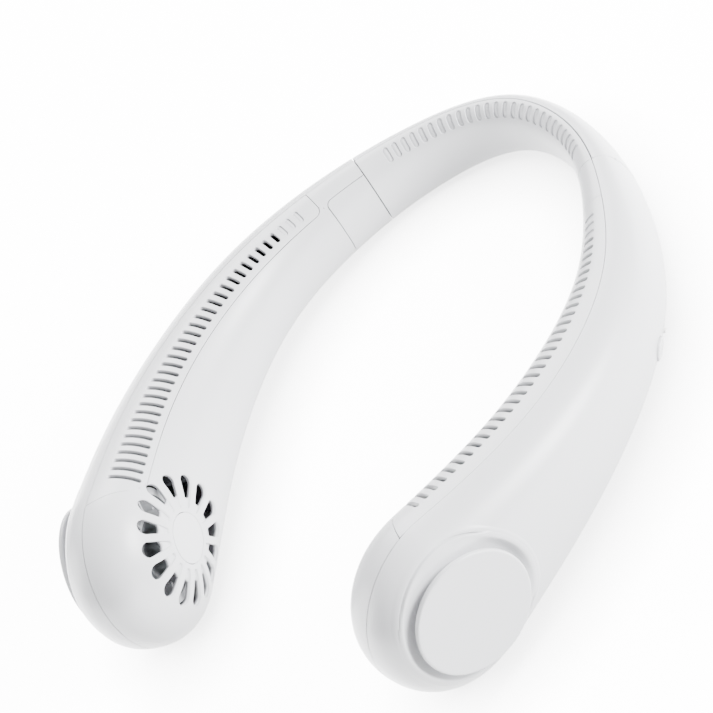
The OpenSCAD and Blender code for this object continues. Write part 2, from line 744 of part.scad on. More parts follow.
module motor_shaft() {
    at_fan() translate([0, 0, shaft_bottom]) cylinder(r = shaft_r, h = cup_top + plate_t - shaft_bottom);
}

// Fixed parts of the motor
tube_top = cup_top - cup_t - 2 * free;
module bearing_bush() {
    at_fan() translate([0, 0, seat_level + base_t + fit])
        ring(bush_r, shaft_r + run, tube_top - seat_level - base_t - fit);
}
stator_r = magnet_in_r - air_gap;
yoke_r = tube_r + tooth_w;
module stator_core() {
    at_fan() translate([0, 0, stack_bottom]) linear_extrude(stack_t) {
        difference() {
            circle(yoke_r);
            circle(tube_r + fit);
        }
        intersection() {
            difference() {
                circle(stator_r);
                circle(tube_r + tooth_w / 2);
            }
            for (i = [0:tooth_count - 1]) rotate(360 * i / tooth_count) {
                translate([0, -tooth_w / 2]) square([stator_r, tooth_w]);
                polygon([[stator_r - tooth_w, -tooth_w / 2], [stator_r, -1.5 * tooth_w],
                         [cup_r, -1.5 * tooth_w], [cup_r, 1.5 * tooth_w],
                         [stator_r, 1.5 * tooth_w], [stator_r - tooth_w, tooth_w / 2]]);
            }
        }
    }
}
coil_t = tooth_w / 3;
module stator_coils() {
    long = stator_r - tooth_w - coil_t - yoke_r;
    at_fan() for (i = [0:tooth_count - 1]) rotate(360 * i / tooth_count)
        translate([yoke_r + fit + coil_t, 0, stack_bottom + stack_t / 2]) rotate([0, 90, 0]) linear_extrude(long - coil_t)
            difference() {
                square([stack_t + 2 * coil_t, tooth_w + 2 * coil_t], center = true);
                square([stack_t + 2 * fit, tooth_w + 2 * fit], center = true);
            }
}
screw_reach = 1.4;
module motor_screw_places() {
    for (i = [0:screw_count - 1]) rotate(360 * (i + 0.5) / screw_count) translate([screw_ring, 0, seat_level]) children();
}
module motor_base() {
    top = seat_level + base_t;
    at_fan() difference() {
        rotate_extrude() polygon([[0, seat_level], [base_r, seat_level], [base_r, top], [tube_r, top],
                                  [tube_r, tube_top], [bush_r + fit, tube_top], [bush_r + fit, top], [0, top]]);
        motor_screw_places() translate([0, 0, -over]) cylinder(r = screw_r + fit, h = base_t + 2 * over);
    }
}
module motor_screws() {
    at_fan() motor_screw_places() {
        translate([0, 0, base_t]) cylinder(r = screw_head_r, h = screw_head_h);
        translate([0, 0, fit - screw_reach]) cylinder(r = screw_r, h = base_t + screw_reach);
    }
}

// Air path and battery
module scroll_wall() {
    at_fan() translate([0, 0, scroll_bottom]) rotate_extrude(angle = scroll_turn, start = scroll_from)
        translate([scroll_r, 0]) square([duct_t, floor_level - floor_t - fit - scroll_bottom]);
}
duct_steps = 12;
duct_u0 = share_at(hinge_reach + hinge_cover_l + leaf_l + strip_gap);
duct_u1 = 1 - share_at(bezel_r + fit - end_r * sin(taper));
duct_level = cell_r - cell_drop + duct_t + duct_gap;
module duct_wall() {
    us = [for (i = [0:duct_steps]) duct_u0 + (duct_u1 - duct_u0) * i / duct_steps];
    // The wall lies level across the section, from skin to skin
    function side_turn(u) =
        asin(pow(duct_level / half_h(u, wall), section_round / 2));
    function edge(u, s, drop) =
        let (a = side_turn(u))
        centre(u) + s * (half_w(u, wall) * rounded(cos(a)) - seam) * section_out(u)
        + (duct_level - drop) * section_up(u);
    sheet([for (u = us) [edge(u, 1, 0), edge(u, -1, 0)]], [for (u = us) [edge(u, 1, duct_t), edge(u, -1, duct_t)]]);
}
cell_u = 1 - share_at(scroll_r + 2 * duct_t - end_r * sin(taper) + contact_h + free + cell_l / 2);
module battery_cell() {
    at_section(cell_u) translate([-cell_l / 2, -cell_drop, 0]) rotate([0, 90, 0]) {
        cylinder(r = cell_r, h = cell_l);
        translate([0, 0, cell_l]) cylinder(r = contact_r, h = contact_h);
    }
}

// Two saddles carry the battery in the bottom of the arm
module battery_saddles() {
    for (s = [-1, 1]) {
        u = cell_u + share_at(s * saddle_reach);
        difference() {
            intersection() {
                arm_body([u - share_at(saddle_t / 2), u + share_at(saddle_t / 2)], wall + 2 * fit);
                at_section(cell_u) translate([-cell_l, -cell_drop - end_r, -end_thick])
                    cube([2 * cell_l, end_r, 2 * end_thick]);
            }
            at_section(cell_u) translate([-cell_l, -cell_drop, 0]) rotate([0, 90, 0])
                cylinder(r = cell_r + fit, h = 2 * cell_l);
        }
    }
}

// Hinge between the neck band and an arm
module on_pin() {
    at_section(hinge_u) translate([0, 0, pin_out]) rotate([-90, 0, 0]) children();
}
module knuckle(z, h, bore) {
    translate([0, 0, z]) ring(knuckle_r, bore, h);
}
end_knuckle = (knuckle_row - knuckle_mid) / 2 - washer_t;
module arm_leaf() {
    difference() {
        union() {
            on_pin() knuckle(-knuckle_mid / 2, knuckle_mid, pin_r + run);
            at_section(hinge_u) translate([-leaf_l, -knuckle_mid / 2, pin_out - leaf_drop])
                cube([leaf_l - joint_gap, knuckle_mid, leaf_t]);
            at_section(hinge_u) translate([-knuckle_r, -knuckle_mid / 2, pin_out - leaf_drop])
                cube([knuckle_r, knuckle_mid, leaf_drop - pin_r - 2 * run]);
        }
        on_pin() cylinder(r = pin_r + run, h = knuckle_row, center = true);
    }
}
module neck_leaf() {
    difference() {
        union() {
            for (s = [-1, 1]) {
                on_pin() knuckle(s > 0 ? knuckle_mid / 2 + washer_t : -knuckle_row / 2, end_knuckle, pin_r + fit);
                at_section(hinge_u) translate([0, s > 0 ? knuckle_mid / 2 + washer_t : -knuckle_row / 2,
                                               pin_out - leaf_drop])
                    cube([knuckle_r, end_knuckle, leaf_drop - pin_r - 2 * run]);
            }
            at_section(hinge_u) translate([joint_gap, -knuckle_row / 2, pin_out - leaf_drop])
                cube([leaf_l - joint_gap, knuckle_row, leaf_t]);
        }
        on_pin() cylinder(r = pin_r + fit, h = knuckle_row + 2 * over, center = true);
        on_pin() cylinder(r = knuckle_r + free, h = knuckle_mid + 2 * washer_t - run, center = true);
    }
}
module hinge_pin() {
    on_pin() cylinder(r = pin_r, h = knuckle_row, center = true);
}
module hinge_washers() {
    on_pin() for (z = [knuckle_mid / 2 + run, -knuckle_mid / 2 - washer_t])
        translate([0, 0, z]) ring(knuckle_r, pin_r + run, washer_t - run);
}

// Controls in the right arm
button_u = cell_u - share_at((cell_l + board_l) / 2 + board_gap);
module at_button() {
    on_skin(button_u, button_turn) children();
}
flange_t = 0.8;
button_foot_r = button_r + flange_t;
module power_button() {
    color("whitesmoke") laid() at_button() {
        translate([0, 0, -button_deep]) cylinder(r = button_r, h = button_deep + button_proud);
        translate([0, 0, -button_deep]) cylinder(r = button_foot_r, h = flange_t);
    }
}
module push_switch() {
    color("dimgray") laid() at_button() {
        h = board_deep - button_deep - button_travel - free;
        translate([-switch_side / 2, -switch_side / 2, -board_deep + fit]) cube([switch_side, switch_side, h - fit]);
    }
}
module light_pipe() {
    color("white") laid() at_button() translate([pipe_gap, 0, fit - board_deep])
        cylinder(r = pipe_r, h = board_deep - fit);
}
module control_board() {
    color("seagreen") laid() at_button() translate([-board_l / 2, -board_w / 2, -board_deep - board_t])
        cube([board_l, board_w, board_t]);
}
usb_u = button_u - share_at((board_l + usb_w) / 2 + board_t + usb_gap);
module at_usb() {
    on_skin(usb_u, usb_turn) children();
}
module usb_shape(grow) {
    rotate(90) slot_shape(usb_w + 2 * grow, usb_h + 2 * grow);
}
module usb_socket() {
    color("silver") laid() at_usb() translate([0, 0, -usb_l - wall / 2]) difference() {
        linear_extrude(usb_l) usb_shape(0);
        translate([0, 0, usb_l / 4]) linear_extrude(usb_l) usb_shape(-usb_t);
    }
}
module charge_board() {
    color("seagreen") laid() at_usb()
        translate([-usb_w / 2 - board_t, -usb_h / 2 - board_t, -usb_l - wall / 2 - board_t])
            cube([usb_w + 2 * board_t, usb_h + 2 * board_t, board_t]);
}
module control_holes() {
    at_button() translate([0, 0, -button_deep]) {
        cylinder(r = button_r + free, h = button_deep + over);
        translate([pipe_gap, 0, 0]) cylinder(r = pipe_r + fit, h = button_deep + over);
    }
    at_usb() translate([0, 0, -usb_l]) linear_extrude(usb_l + over) usb_shape(free);
}

neck_outer_shell();
neck_inner_shell();
neck_cable();
color("whitesmoke") laid() outer_shell() control_holes();  // right_outer_shell
color("whitesmoke") left_side() outer_shell();  // left_outer_shell
color("whitesmoke") laid() inner_shell();  // right_inner_shell
color("whitesmoke") left_side() inner_shell();  // left_inner_shell
color("white") laid() vent_strip();  // right_vent_strip
color("white") left_side() vent_strip();  // left_vent_strip
color("white") laid() hinge_cover();  // right_hinge_cover
color("white") left_side() hinge_cover();  // left_hinge_cover
color("gainsboro") laid() intake_bezel();  // right_intake_bezel
color("gainsboro") left_side() intake_bezel();  // left_intake_bezel
color("white") laid() intake_cover();  // right_intake_cover
color("white") left_side() intake_cover();  // left_intake_cover
color("white") laid() hub_cap();  // right_hub_cap
color("white") left_side() hub_cap();  // left_hub_cap
color("dimgray") laid() impeller();  // right_impeller
color("dimgray") left_side() impeller();  // left_impeller
color("silver") laid() rotor_cup();  // right_rotor_cup
color("silver") left_side() rotor_cup();  // left_rotor_cup
color("darkslategray") laid() magnet_ring();  // right_magnet_ring
color("darkslategray") left_side() magnet_ring();  // left_magnet_ring
color("silver") laid() motor_shaft();  // right_motor_shaft
color("silver") left_side() motor_shaft();  // left_motor_shaft
color("goldenrod") laid() bearing_bush();  // right_bearing_bush
color("goldenrod") left_side() bearing_bush();  // left_bearing_bush
color("gray") laid() stator_core();  // right_stator_core
color("gray") left_side() stator_core();  // left_stator_core
color("peru") laid() stator_coils();  // right_stator_coils
color("peru") left_side() stator_coils();  // left_stator_coils
color("dimgray") laid() motor_base();  // right_motor_base
color("dimgray") left_side() motor_base();  // left_motor_base
color("silver") laid() motor_screws();  // right_motor_screws
color("silver") left_side() motor_screws();  // left_motor_screws
color("gainsboro") laid() scroll_wall();  // right_scroll_wall
color("gainsboro") left_side() scroll_wall();  // left_scroll_wall
color("gainsboro") laid() duct_wall();  // right_duct_wall
color("gainsboro") left_side() duct_wall();  // left_duct_wall
color("steelblue") laid() battery_cell();  // right_battery_cell
color("steelblue") left_side() battery_cell();  // left_battery_cell
color("gainsboro") laid() battery_saddles();  // right_battery_saddles
color("gainsboro") left_side() battery_saddles();  // left_battery_saddles
color("gray") laid() arm_leaf();  // right_arm_leaf
color("gray") left_side() arm_leaf();  // left_arm_leaf
color("gray") laid() neck_leaf();  // right_neck_leaf
color("gray") left_side() neck_leaf();  // left_neck_leaf
color("silver") laid() hinge_pin();  // right_hinge_pin
color("silver") left_side() hinge_pin();  // left_hinge_pin
color("black") laid() hinge_washers();  // right_hinge_washers
color("black") left_side() hinge_washers();  // left_hinge_washers
power_button();
push_switch();
light_pipe();
control_board();
usb_socket();
charge_board();
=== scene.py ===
import json
import math

import bmesh
import bpy
import numpy as np
from bpy.props import FloatProperty, PointerProperty, StringProperty
from mathutils import Matrix, Vector


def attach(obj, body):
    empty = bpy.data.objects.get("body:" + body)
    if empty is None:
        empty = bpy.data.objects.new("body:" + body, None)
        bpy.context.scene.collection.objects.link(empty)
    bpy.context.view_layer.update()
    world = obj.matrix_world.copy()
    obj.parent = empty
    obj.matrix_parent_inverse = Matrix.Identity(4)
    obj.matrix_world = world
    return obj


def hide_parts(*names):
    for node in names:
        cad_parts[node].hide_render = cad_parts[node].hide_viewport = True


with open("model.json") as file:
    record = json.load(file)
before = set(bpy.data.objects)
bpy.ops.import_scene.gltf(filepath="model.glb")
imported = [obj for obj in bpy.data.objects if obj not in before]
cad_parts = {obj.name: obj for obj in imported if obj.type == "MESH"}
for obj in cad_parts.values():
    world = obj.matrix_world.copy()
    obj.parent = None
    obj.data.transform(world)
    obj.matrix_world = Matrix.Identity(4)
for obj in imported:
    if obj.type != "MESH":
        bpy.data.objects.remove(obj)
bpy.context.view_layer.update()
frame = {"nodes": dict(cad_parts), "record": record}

bl_info = {
    "name": "Neck Fan",
    "version": (1, 0, 0),
    "blender": (4, 5, 0),
    "location": "View3D > Sidebar > Neck Fan",
    "description": "Makes the moulded shells, grilles and finishes of an electric neck fan",
    "category": "Object",
}

NODES = frame["nodes"]
MM = 0.001
DEG = math.pi / 180

# ---------------------------------------------------------------- body curve
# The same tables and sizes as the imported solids, in millimetres and degrees

SPAN = [0, 0.463, 0.754, 0.968, 1, 0.936, 0.793]
REACH = [-0.03, 0.0605, 0.219, 0.403, 0.607, 0.807, 1]
RISE = [1, -0.6, 0, 0, 0, 0, 0]
HEIGHT = [0, 0.112, 0.208, 0.265, 0.443, 0.703, 1]
THICK = [0, 0.038, 0.256, 0.583, 0.789, 0.9, 1]
ROLL = [-0.2, -0.4, -0.42, 0.33, 1, 0.79, 0.16]
HALF_SPAN, ARM_REACH, NECK_RISE = 81, 190, 2.7
NECK_HEIGHT, END_HEIGHT = 23.7, 60.8
NECK_THICK, END_THICK = 12.7, 39.8
ARM_ROLL = 9.5
SECTION_ROUND, END_ROUND = 2.31, 2.32
REST_REACH = 46
HEIGHTS = [(NECK_HEIGHT + (END_HEIGHT - NECK_HEIGHT) * s) / 2 for s in HEIGHT]
THICKS = [(NECK_THICK + (END_THICK - NECK_THICK) * s) / 2 for s in THICK]

# Seams and rows, as angles up from the outer side of a section
TOP_SEAM, STRIP_EDGE, SLOT_ROW, OVAL_ROW = 87, 136, 114, 119
COVER_FROM, COVER_TURN = 127, 234
CONTROL_ROW, USB_ROW = -22, -48

# Places and lengths along the arm, from the middle of the neck
HINGE_REACH, JOINT_GAP, FAN_S = 61, 0.4, 203.5
HINGE_COVER, STRIP_GAP, STRIP_STOP, ROUND_END, TIP_SHARE = 18.2, 2.8, 3.6, 52.6, 0.9986
COVER_CORNER, STRIP_CORNERS, CORNER_RUN = 2.4, (2.6, 4.0), 3
STRIP_SLANT, SLANT_BEND = 8.8, 1.2
SLOT_PITCH, SLOT_FIRST, SLOT_LONG, SLOT_SHORT = 3.92, 7, 12, 5
SLOT_COUNT, BLIND_COUNT = 32, 3
OVAL_LONG, OVAL_W, OVAL_COUNT, OVAL_MARGIN = 6.2, 2.1, 13, 0.75
BUTTON_S, PIPE_S, USB_S = 130.04, 122.34, 111.04
BUTTON_R, BUTTON_PROUD, BUTTON_DEEP, FLANGE_T = 4, 0.6, 4.4, 0.8
# Holes for the controls: place, angle, radius and half the straight length
CONTROLS = ((BUTTON_S, CONTROL_ROW, 4.3, 0), (PIPE_S, CONTROL_ROW, 1.0, 0), (USB_S, USB_ROW, 1.9, 2.9))

# The hinge pin, and the thinner wall beside its knuckles
PIN_INSET, SWING, KNUCKLE_ROOM, KNUCKLE_REACH = 3.1, 12, 2.2, 10.2
KNUCKLE_GAP, THIN_WALL = 0.05, 0.6

# Rings and levels of the fan, from its axis and from the middle of the arm
BEZEL_R, EYE_R, COVER_R, HUB_R = 24.6, 13.2, 20.6, 8.8
HUB_GAP, HUB_CLEAR, HUB_RIM = 0.16, 0.1, 0.2
COVER_LEVEL, FLOOR_LEVEL, BEZEL_TOP, SKIN_LEVEL = 18.6, 14.4, 18.0, 15.0
COVER_T, FLOOR_T, HUB_T = 1.8, 1.4, 1
PEG_R, PEG_RING, PEG_COUNT, PEG_DRAFT = 1.6, 17.2, 4, 0.1
RIB_W, RIB_OVER, RIB_RIM = 1.8, 0.6, 0.25
COVER_BACK = COVER_LEVEL - COVER_T
PETAL_COUNT, PETAL_REACH, PETAL_R, PETAL_TIP = 16, 22.5, 2.7, 1.05
PETAL_END, PETAL_OPEN, PETAL_WIDE = 11.4, 14.2, PETAL_REACH - PETAL_R
RING_FLOOR, RING_MOST, RING_GAP = 22.9, 25.6, 0.8
FAN_YAW, FAN_PITCH, FAN_BACK, FAN_UP = 7, 3, 0.7, 1.8
# Raised ring round the intake's opening: distance out from the opening, and height over the skin
RING_SHAPE = ((0.08, 0.02), (0.5, 0.1), (0.95, 0.12), (1.3, 0.1), (1.6, 0.03), (1.9, 0))

# Overlap that joins a sunk floor to its hole's walls, and thicknesses of such floors
OVERLAP, WEB_T, BLIND_T = 0.12, 1.1, 1.0
# A hair's difference, which keeps two faces from lying in one plane
HAIR = 0.02

# Spacing of the meshes: steps along the arm, columns and rings
ARM_STEP, NECK_STEP, SEAM_STEP, NEAR_STEP, FAR_STEP = 2.6, 2.4, 0.6, 1.2, 0.24
END_OFFSETS, ARM_START, NECK_START = (0, 0.6, 1.3, 2.3), 4.2, 4
COVER_CLEAR, STRIP_CLEAR, TIP_CLEAR, HOLE_CLEAR = 3.2, 4, 4.6, 0.7
OUTER_COLUMNS, COVER_COLUMNS, SIDE_COLUMNS, STRIP_COLUMNS = 28, 6, 6, 12
TURN_STEPS, RAYS, BLEND_RINGS = 96, 96, 7
RAY = 360 / RAYS
# Shares of the way from a hole's edge to the border of the cell round it
HOLE_ROWS = np.linspace(0, 1, 4)

# Rounds, steps and limits of the numeric work; angles run from the least one up a full turn
ROUNDS, NUDGE, TINY, LEAST_ANGLE = 7, 1e-4, 1e-6, -95
WELD_GAP, TURNED_WELD_GAP, ON_SKIN = 0.01, 0.002, 0.02


def unit(v):
    return v / np.linalg.norm(v, axis=-1, keepdims=True)


def along(table, u, odd=False, level=False, slope=False):
    """Value or slope of a uniform cubic spline over a table, mirrored at the neck."""
    p = np.asarray(table, float)
    n = len(p) - 1
    i = np.clip(np.floor(u * n), 0, n - 1).astype(int)
    t = u * n - i
    if slope:
        weights = [-(1 - t) ** 2 / 2, (3 * t * t - 4 * t) / 2, (-3 * t * t + 2 * t + 1) / 2, t * t / 2]
    else:
        weights = [(1 - t) ** 3 / 6, (3 * t ** 3 - 6 * t * t + 4) / 6,
                   (-3 * t ** 3 + 3 * t * t + 3 * t + 1) / 6, t ** 3 / 6]
    value = 0
    for j, w in enumerate(weights):
        k = i - 1 + j
        knot = p[np.clip(np.abs(k), 0, n)] * np.where((k < 0) & odd, -1, 1)
        value = value + w * np.where(k > n, p[n - 1] if level else 2 * p[n] - p[n - 1], knot)
    return value * (n if slope else 1)


def line(u, slope=False):
    """Centreline of the right arm, or its slope."""
    return np.stack([HALF_SPAN * along(SPAN, u, odd=True, slope=slope),
                     -ARM_REACH * along(REACH, u, slope=slope),
                     NECK_RISE * along(RISE, u, slope=slope)], -1)


_steps = line(np.linspace(0, 1, 25))
LENGTH = float(np.linalg.norm(np.diff(_steps, axis=0), axis=1).sum())
TAPER = math.atan((HEIGHTS[-1] - HEIGHTS[-2]) * (len(HEIGHTS) - 1) / LENGTH)
END_R = HEIGHTS[-1] / math.cos(TAPER)
END_SPAN = math.pi / 2 + TAPER
END_W = float(along(THICKS, np.array(1.0), level=True))


def share(distance):
    return distance / LENGTH


def axes(u):
    """Centreline point, tangent, up and out directions of the sections at u."""
    a = np.minimum(u, 1)
    t = unit(line(a, slope=True))
    up = unit(np.array([0, 0, 1.0]) - t[..., 2:3] * t)
    out = np.cross(up, t)
    roll = (ARM_ROLL * DEG * along(ROLL, a))[..., None]
    up = np.cos(roll) * up + np.sin(roll) * out
    return line(a), t, up, np.cross(up, t)


def halves(u):
    """Half height, half width and shift along the arm of the sections at u."""
    a = np.minimum(u, 1)
    turn = np.where(u > 1, (u - 1) * END_SPAN - TAPER, -TAPER)
    h = np.where(u > 1, END_R * np.cos(turn), along(HEIGHTS, a))
    close = np.maximum(0, np.sin(turn)) ** END_ROUND
    w = along(THICKS, a, level=True) * np.where(u > 1, np.maximum(1 - close, 0) ** (1 / END_ROUND), 1)
    shift = np.where(u > 1, END_R * (np.sin(turn) + math.sin(TAPER)), 0)
    return h, w, shift


def power(v, e):
    """A power that keeps the sign."""
    return np.sign(v) * np.abs(v) ** e


def flipped(p, left):
    """Points or directions, mirrored across the middle where left holds."""
    return p * np.where(left[..., None], [-1, 1, 1], 1)


def skin(u, a):
    """Points of the skin at stations u and angles a, in degrees; u below 0 is the left side."""
    u, a = np.broadcast_arrays(np.asarray(u, float), np.asarray(a, float))
    c, t, up, out = axes(np.abs(u))
    h, w, shift = halves(np.abs(u))
    e = 2 / SECTION_ROUND
    p = (c + shift[..., None] * t + (w * power(np.cos(a * DEG), e))[..., None] * out
         + (h * power(np.sin(a * DEG), e))[..., None] * up)
    return flipped(p, u < 0)


def skin_normal(u, a):
    """Outward normals of the skin at u and a."""
    u, a = np.broadcast_arrays(np.asarray(u, float), np.asarray(a, float))
    v = np.abs(u)
    _, t, up, out = axes(v)
    h, w, _ = halves(v)
    e = 2 - 2 / SECTION_ROUND
    across = unit((power(np.cos(a * DEG), e) / np.maximum(w, TINY))[..., None] * out
                  + (power(np.sin(a * DEG), e) / np.maximum(h, TINY))[..., None] * up)
    before, after = np.maximum(v - NUDGE, 0), v + NUDGE
    run = (skin(after, a) - skin(before, a)) / (after - before)[..., None]
    n = across * np.sum(t * run, -1, keepdims=True) - np.sum(across * run, -1, keepdims=True) * t
    return flipped(unit(n), u < 0)


TRIAL = np.linspace(0, 1, 161)
TRIAL_POINTS = line(TRIAL)


def locate(p):
    """Station and angle of points, each taken in the section plane that it lies in."""
    left = p[:, 0] < 0
    q = flipped(p, left)

    def ahead(u):
        return np.sum((q - line(u)) * unit(line(u, slope=True)), -1)
    u = TRIAL[np.argmin(((q[:, None] - TRIAL_POINTS[None]) ** 2).sum(2), 1)]
    still, least_rate = 1e-9, -20
    for _ in range(ROUNDS):
        a = np.clip(u, 0, 1)
        b = np.clip(a - NUDGE, 0, 1)
        g = ahead(a)
        rate = np.where(np.abs(a - b) > still, (g - ahead(b)) / np.maximum(a - b, still), -LENGTH)
        u = np.clip(a - g / np.minimum(rate, least_rate), 0, 1)
    c, t, up, out = axes(u)
    beyond = np.sum((q - c) * t, -1)
    turn = np.arcsin(np.clip(beyond / END_R - math.sin(TAPER), -1, 1 - 2 * TINY))
    u = np.where(beyond > TINY, 1 + (turn + TAPER) / END_SPAN, u)
    h, w, shift = halves(u)
    r = q - c - shift[:, None] * t
    x, y = np.sum(r * out, -1), np.sum(r * up, -1)
    e = SECTION_ROUND / 2
    a = np.degrees(np.arctan2(power(y / np.maximum(h, TINY), e), power(x / np.maximum(w, TINY), e)))
    return np.where(left, -u, u), np.where(a < LEAST_ANGLE, a + 360, a)


def settle(p, way=None):
    """Moves points onto the skin, squarely or along one direction, and gives their normals too."""
    shape = p.shape
    p = p.reshape(-1, 3).copy()
    for _ in range(ROUNDS):
        u, a = locate(p)
        q, n = skin(u, a), skin_normal(u, a)
        off = np.sum((p - q) * n, -1, keepdims=True)
        if way is None:
            p = p - off * n
        else:
            p = p - off / np.sum(n * way, -1, keepdims=True) * way
    u, a = locate(p)
    if way is None:
        p = skin(u, a)
    return p.reshape(shape), skin_normal(u, a).reshape(shape)


_end_at, _end_run, _end_up, _end_out = (v[0] for v in axes(np.array([1.0])))
END_CENTRE = _end_at + _end_run * END_R * math.sin(TAPER)
FAN_OUT = unit(_end_out + math.tan(FAN_YAW * DEG) * _end_run + math.tan(FAN_PITCH * DEG) * _end_up)
FAN_TOP = unit(_end_up - np.dot(_end_up, FAN_OUT) * FAN_OUT)
FAN_SIDE = np.cross(FAN_TOP, FAN_OUT)
FAN_CENTRE = END_CENTRE - FAN_BACK * _end_run + FAN_UP * _end_up


def at_fan(r, turn, level):
    """Points round the fan axis, at turn degrees from the hinge side towards the top."""
    r, turn, level = np.broadcast_arrays(*(np.asarray(v, float) for v in (r, turn, level)))
    return (FAN_CENTRE + (r * np.cos(turn * DEG))[..., None] * FAN_SIDE
            + (r * np.sin(turn * DEG))[..., None] * FAN_TOP + level[..., None] * FAN_OUT)


def fan_turn(p):
    """Turn of points about the fan axis, in degrees."""
    d = p - FAN_CENTRE
    return np.degrees(np.arctan2(d @ FAN_TOP, d @ FAN_SIDE))


def resting():
    """Lean and place of the whole fan when it lies on a table."""
    def low_reach(u, down):
        _, _, up, out = axes(np.array([u]))
        h, w, _ = halves(np.array([u]))
        q = SECTION_ROUND / (SECTION_ROUND - 1)
        return float((abs(w[0] * out[0] @ down) ** q + abs(h[0] * up[0] @ down) ** q) ** (1 / q))
    rest = share(REST_REACH)
    low = line(np.array([rest]))[0]
    lean = 0.0
    for _ in range(3):
        down = np.array([0, math.sin(lean), -math.cos(lean)])
        lean = math.asin((END_R - low_reach(rest, down) + (low[2] - END_CENTRE[2]) * math.cos(lean))
                         / (low[1] - END_CENTRE[1]))
    drop = END_R + END_CENTRE[1] * math.sin(lean) - END_CENTRE[2] * math.cos(lean)
    back = np.array([0, math.cos(lean), math.sin(lean)])
    q = END_ROUND / (END_ROUND - 1)
    front = END_CENTRE @ back - ((END_R * math.hypot(_end_run @ back, _end_up @ back)) ** q
                                 + abs(END_W * _end_out @ back) ** q) ** (1 / q)
    rear = line(np.array([0.0]))[0] @ back + low_reach(0, back)
    return lean, -(front + rear) / 2, drop


LEAN, SHIFT, DROP = resting()
ON_TABLE = Matrix.Translation((0, SHIFT * MM, DROP * MM)) @ Matrix.Rotation(-LEAN, 4, "X")
LAID = ON_TABLE @ Matrix.Scale(MM, 4)
MIRROR = Matrix.Scale(-1, 4, (1, 0, 0))


# ---------------------------------------------------------------- mesh tools

def coords(verts):
    return np.array([v.co for v in verts])


def place_verts(verts, points):
    for v, p in zip(verts, points):
        v.co = p


def lay(bm, rows, around=False):
    """A sheet through rows of points, from a flat grid; around closes each row on itself."""
    rows = np.asarray(rows, float)
    if around:
        rows = np.concatenate([rows, rows[:, :1]], 1)
    m, n = rows.shape[:2]
    made = bmesh.ops.create_grid(bm, x_segments=n - 1, y_segments=m - 1, size=1)["verts"]
    place_verts(made, rows.reshape(-1, 3))
    return made


def weld(bm, gap=WELD_GAP):
    """Joins the parts of a mesh along their shared edges."""
    bmesh.ops.remove_doubles(bm, verts=bm.verts, dist=gap)
    bmesh.ops.recalc_face_normals(bm, faces=bm.faces)
    return bm


def face_out(bm):
    """Turns a sheet on the skin so that it faces outwards."""
    bm.faces.ensure_lookup_table()
    face = max(bm.faces, key=lambda f: f.calc_area())
    _, n = settle(np.array([face.calc_center_median()]))
    if face.normal.dot(Vector(n[0])) < 0:
        bmesh.ops.reverse_faces(bm, faces=bm.faces)


def sink(bm, deep, keep=False):
    """Extrudes a sheet on the skin inwards, by one depth or by one for each point."""
    made = bmesh.ops.extrude_face_region(bm, geom=bm.faces[:], use_keep_orig=keep)["geom"]
    inner = [g for g in made if isinstance(g, bmesh.types.BMVert)]
    p = coords(inner)
    depth = np.reshape(deep(p) if callable(deep) else deep, (-1, 1))
    place_verts(inner, p - settle(p)[1] * depth)
    return inner


def thicken(bm, deep, round_r):
    """Gives a sheet on the skin its wall, and rounds the outer edge of every rim."""
    face_out(bm)
    outer = set(bm.verts)
    inner = set(sink(bm, deep, keep=True))
    for f in bm.faces:
        if all(v in inner for v in f.verts):
            f.normal_flip()
    rims = [e for e in bm.edges if e.verts[0] in outer and e.verts[1] in outer
            and len(e.link_faces) == 2 and any(any(v in inner for v in f.verts) for f in e.link_faces)]
    bmesh.ops.recalc_face_normals(bm, faces=bm.faces)
    round_edges(bm, rims, round_r)
    return bm


def round_edges(bm, edges, r):
    """Rounds edges over in two steps."""
    if edges and r:
        bmesh.ops.bevel(bm, geom=edges, offset=r, offset_type="OFFSET", affect="EDGES", segments=2,
                        profile=0.5, material=-1, clamp_overlap=True)


def floors(bm, thick):
    """Gives sunk sheets a thickness, inwards."""
    face_out(bm)
    sink(bm, thick)
    bmesh.ops.recalc_face_normals(bm, faces=bm.faces)
    return bm


def order_faces(bm):
    """Puts the faces in a fixed order, since extruding leaves them in one that changes between runs."""
    bm.verts.index_update()
    for i, face in enumerate(sorted(bm.faces, key=lambda f: [v.index for v in f.verts])):
        face.index = i
    bm.faces.sort()


def finish_piece(name, bm, body, slot, stands_for, mirror=False, on_skin=True):
    """Makes the piece's object, in metres where it lies, smooth and riding on its body."""
    place = MIRROR @ LAID if mirror else LAID
    if on_skin:
        p = coords(bm.verts)
        q, n = settle(p)
        close = np.linalg.norm(p - q, axis=1) < ON_SKIN
    bmesh.ops.transform(bm, matrix=place, verts=bm.verts)
    if mirror:
        bmesh.ops.reverse_faces(bm, faces=bm.faces)
    order_faces(bm)
    mesh = bpy.data.meshes.new(name)
    bm.to_mesh(mesh)
    bm.free()
    mesh.shade_smooth()
    piece = bpy.data.objects.new(name, mesh)
    bpy.context.scene.collection.objects.link(piece)
    mesh.materials.append(material(slot))
    if on_skin:
        # What lies on the skin is shaded with the skin's own normals
        skin_n = unit(n @ np.array(place.to_3x3().normalized()).T)
        own = np.array([v.normal for v in mesh.vertices])
        mesh.normals_split_custom_set_from_vertices(np.where(close[:, None], skin_n, own).tolist())
    else:
        finish = piece.modifiers.new("even shading", "WEIGHTED_NORMAL")
        finish.keep_sharp = True
    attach(piece, body)
    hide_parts(*stands_for)
    return piece


def arm_piece(side, name, bm, stands_for, slot="shell", on_skin=True):
    """Finishes a piece of one arm; the left arm's is the right one mirrored."""
    return finish_piece(f"{side}_{name}", bm, f"{side}_arm", slot, [f"{side}_{stands_for}"],
                        side == "left", on_skin)


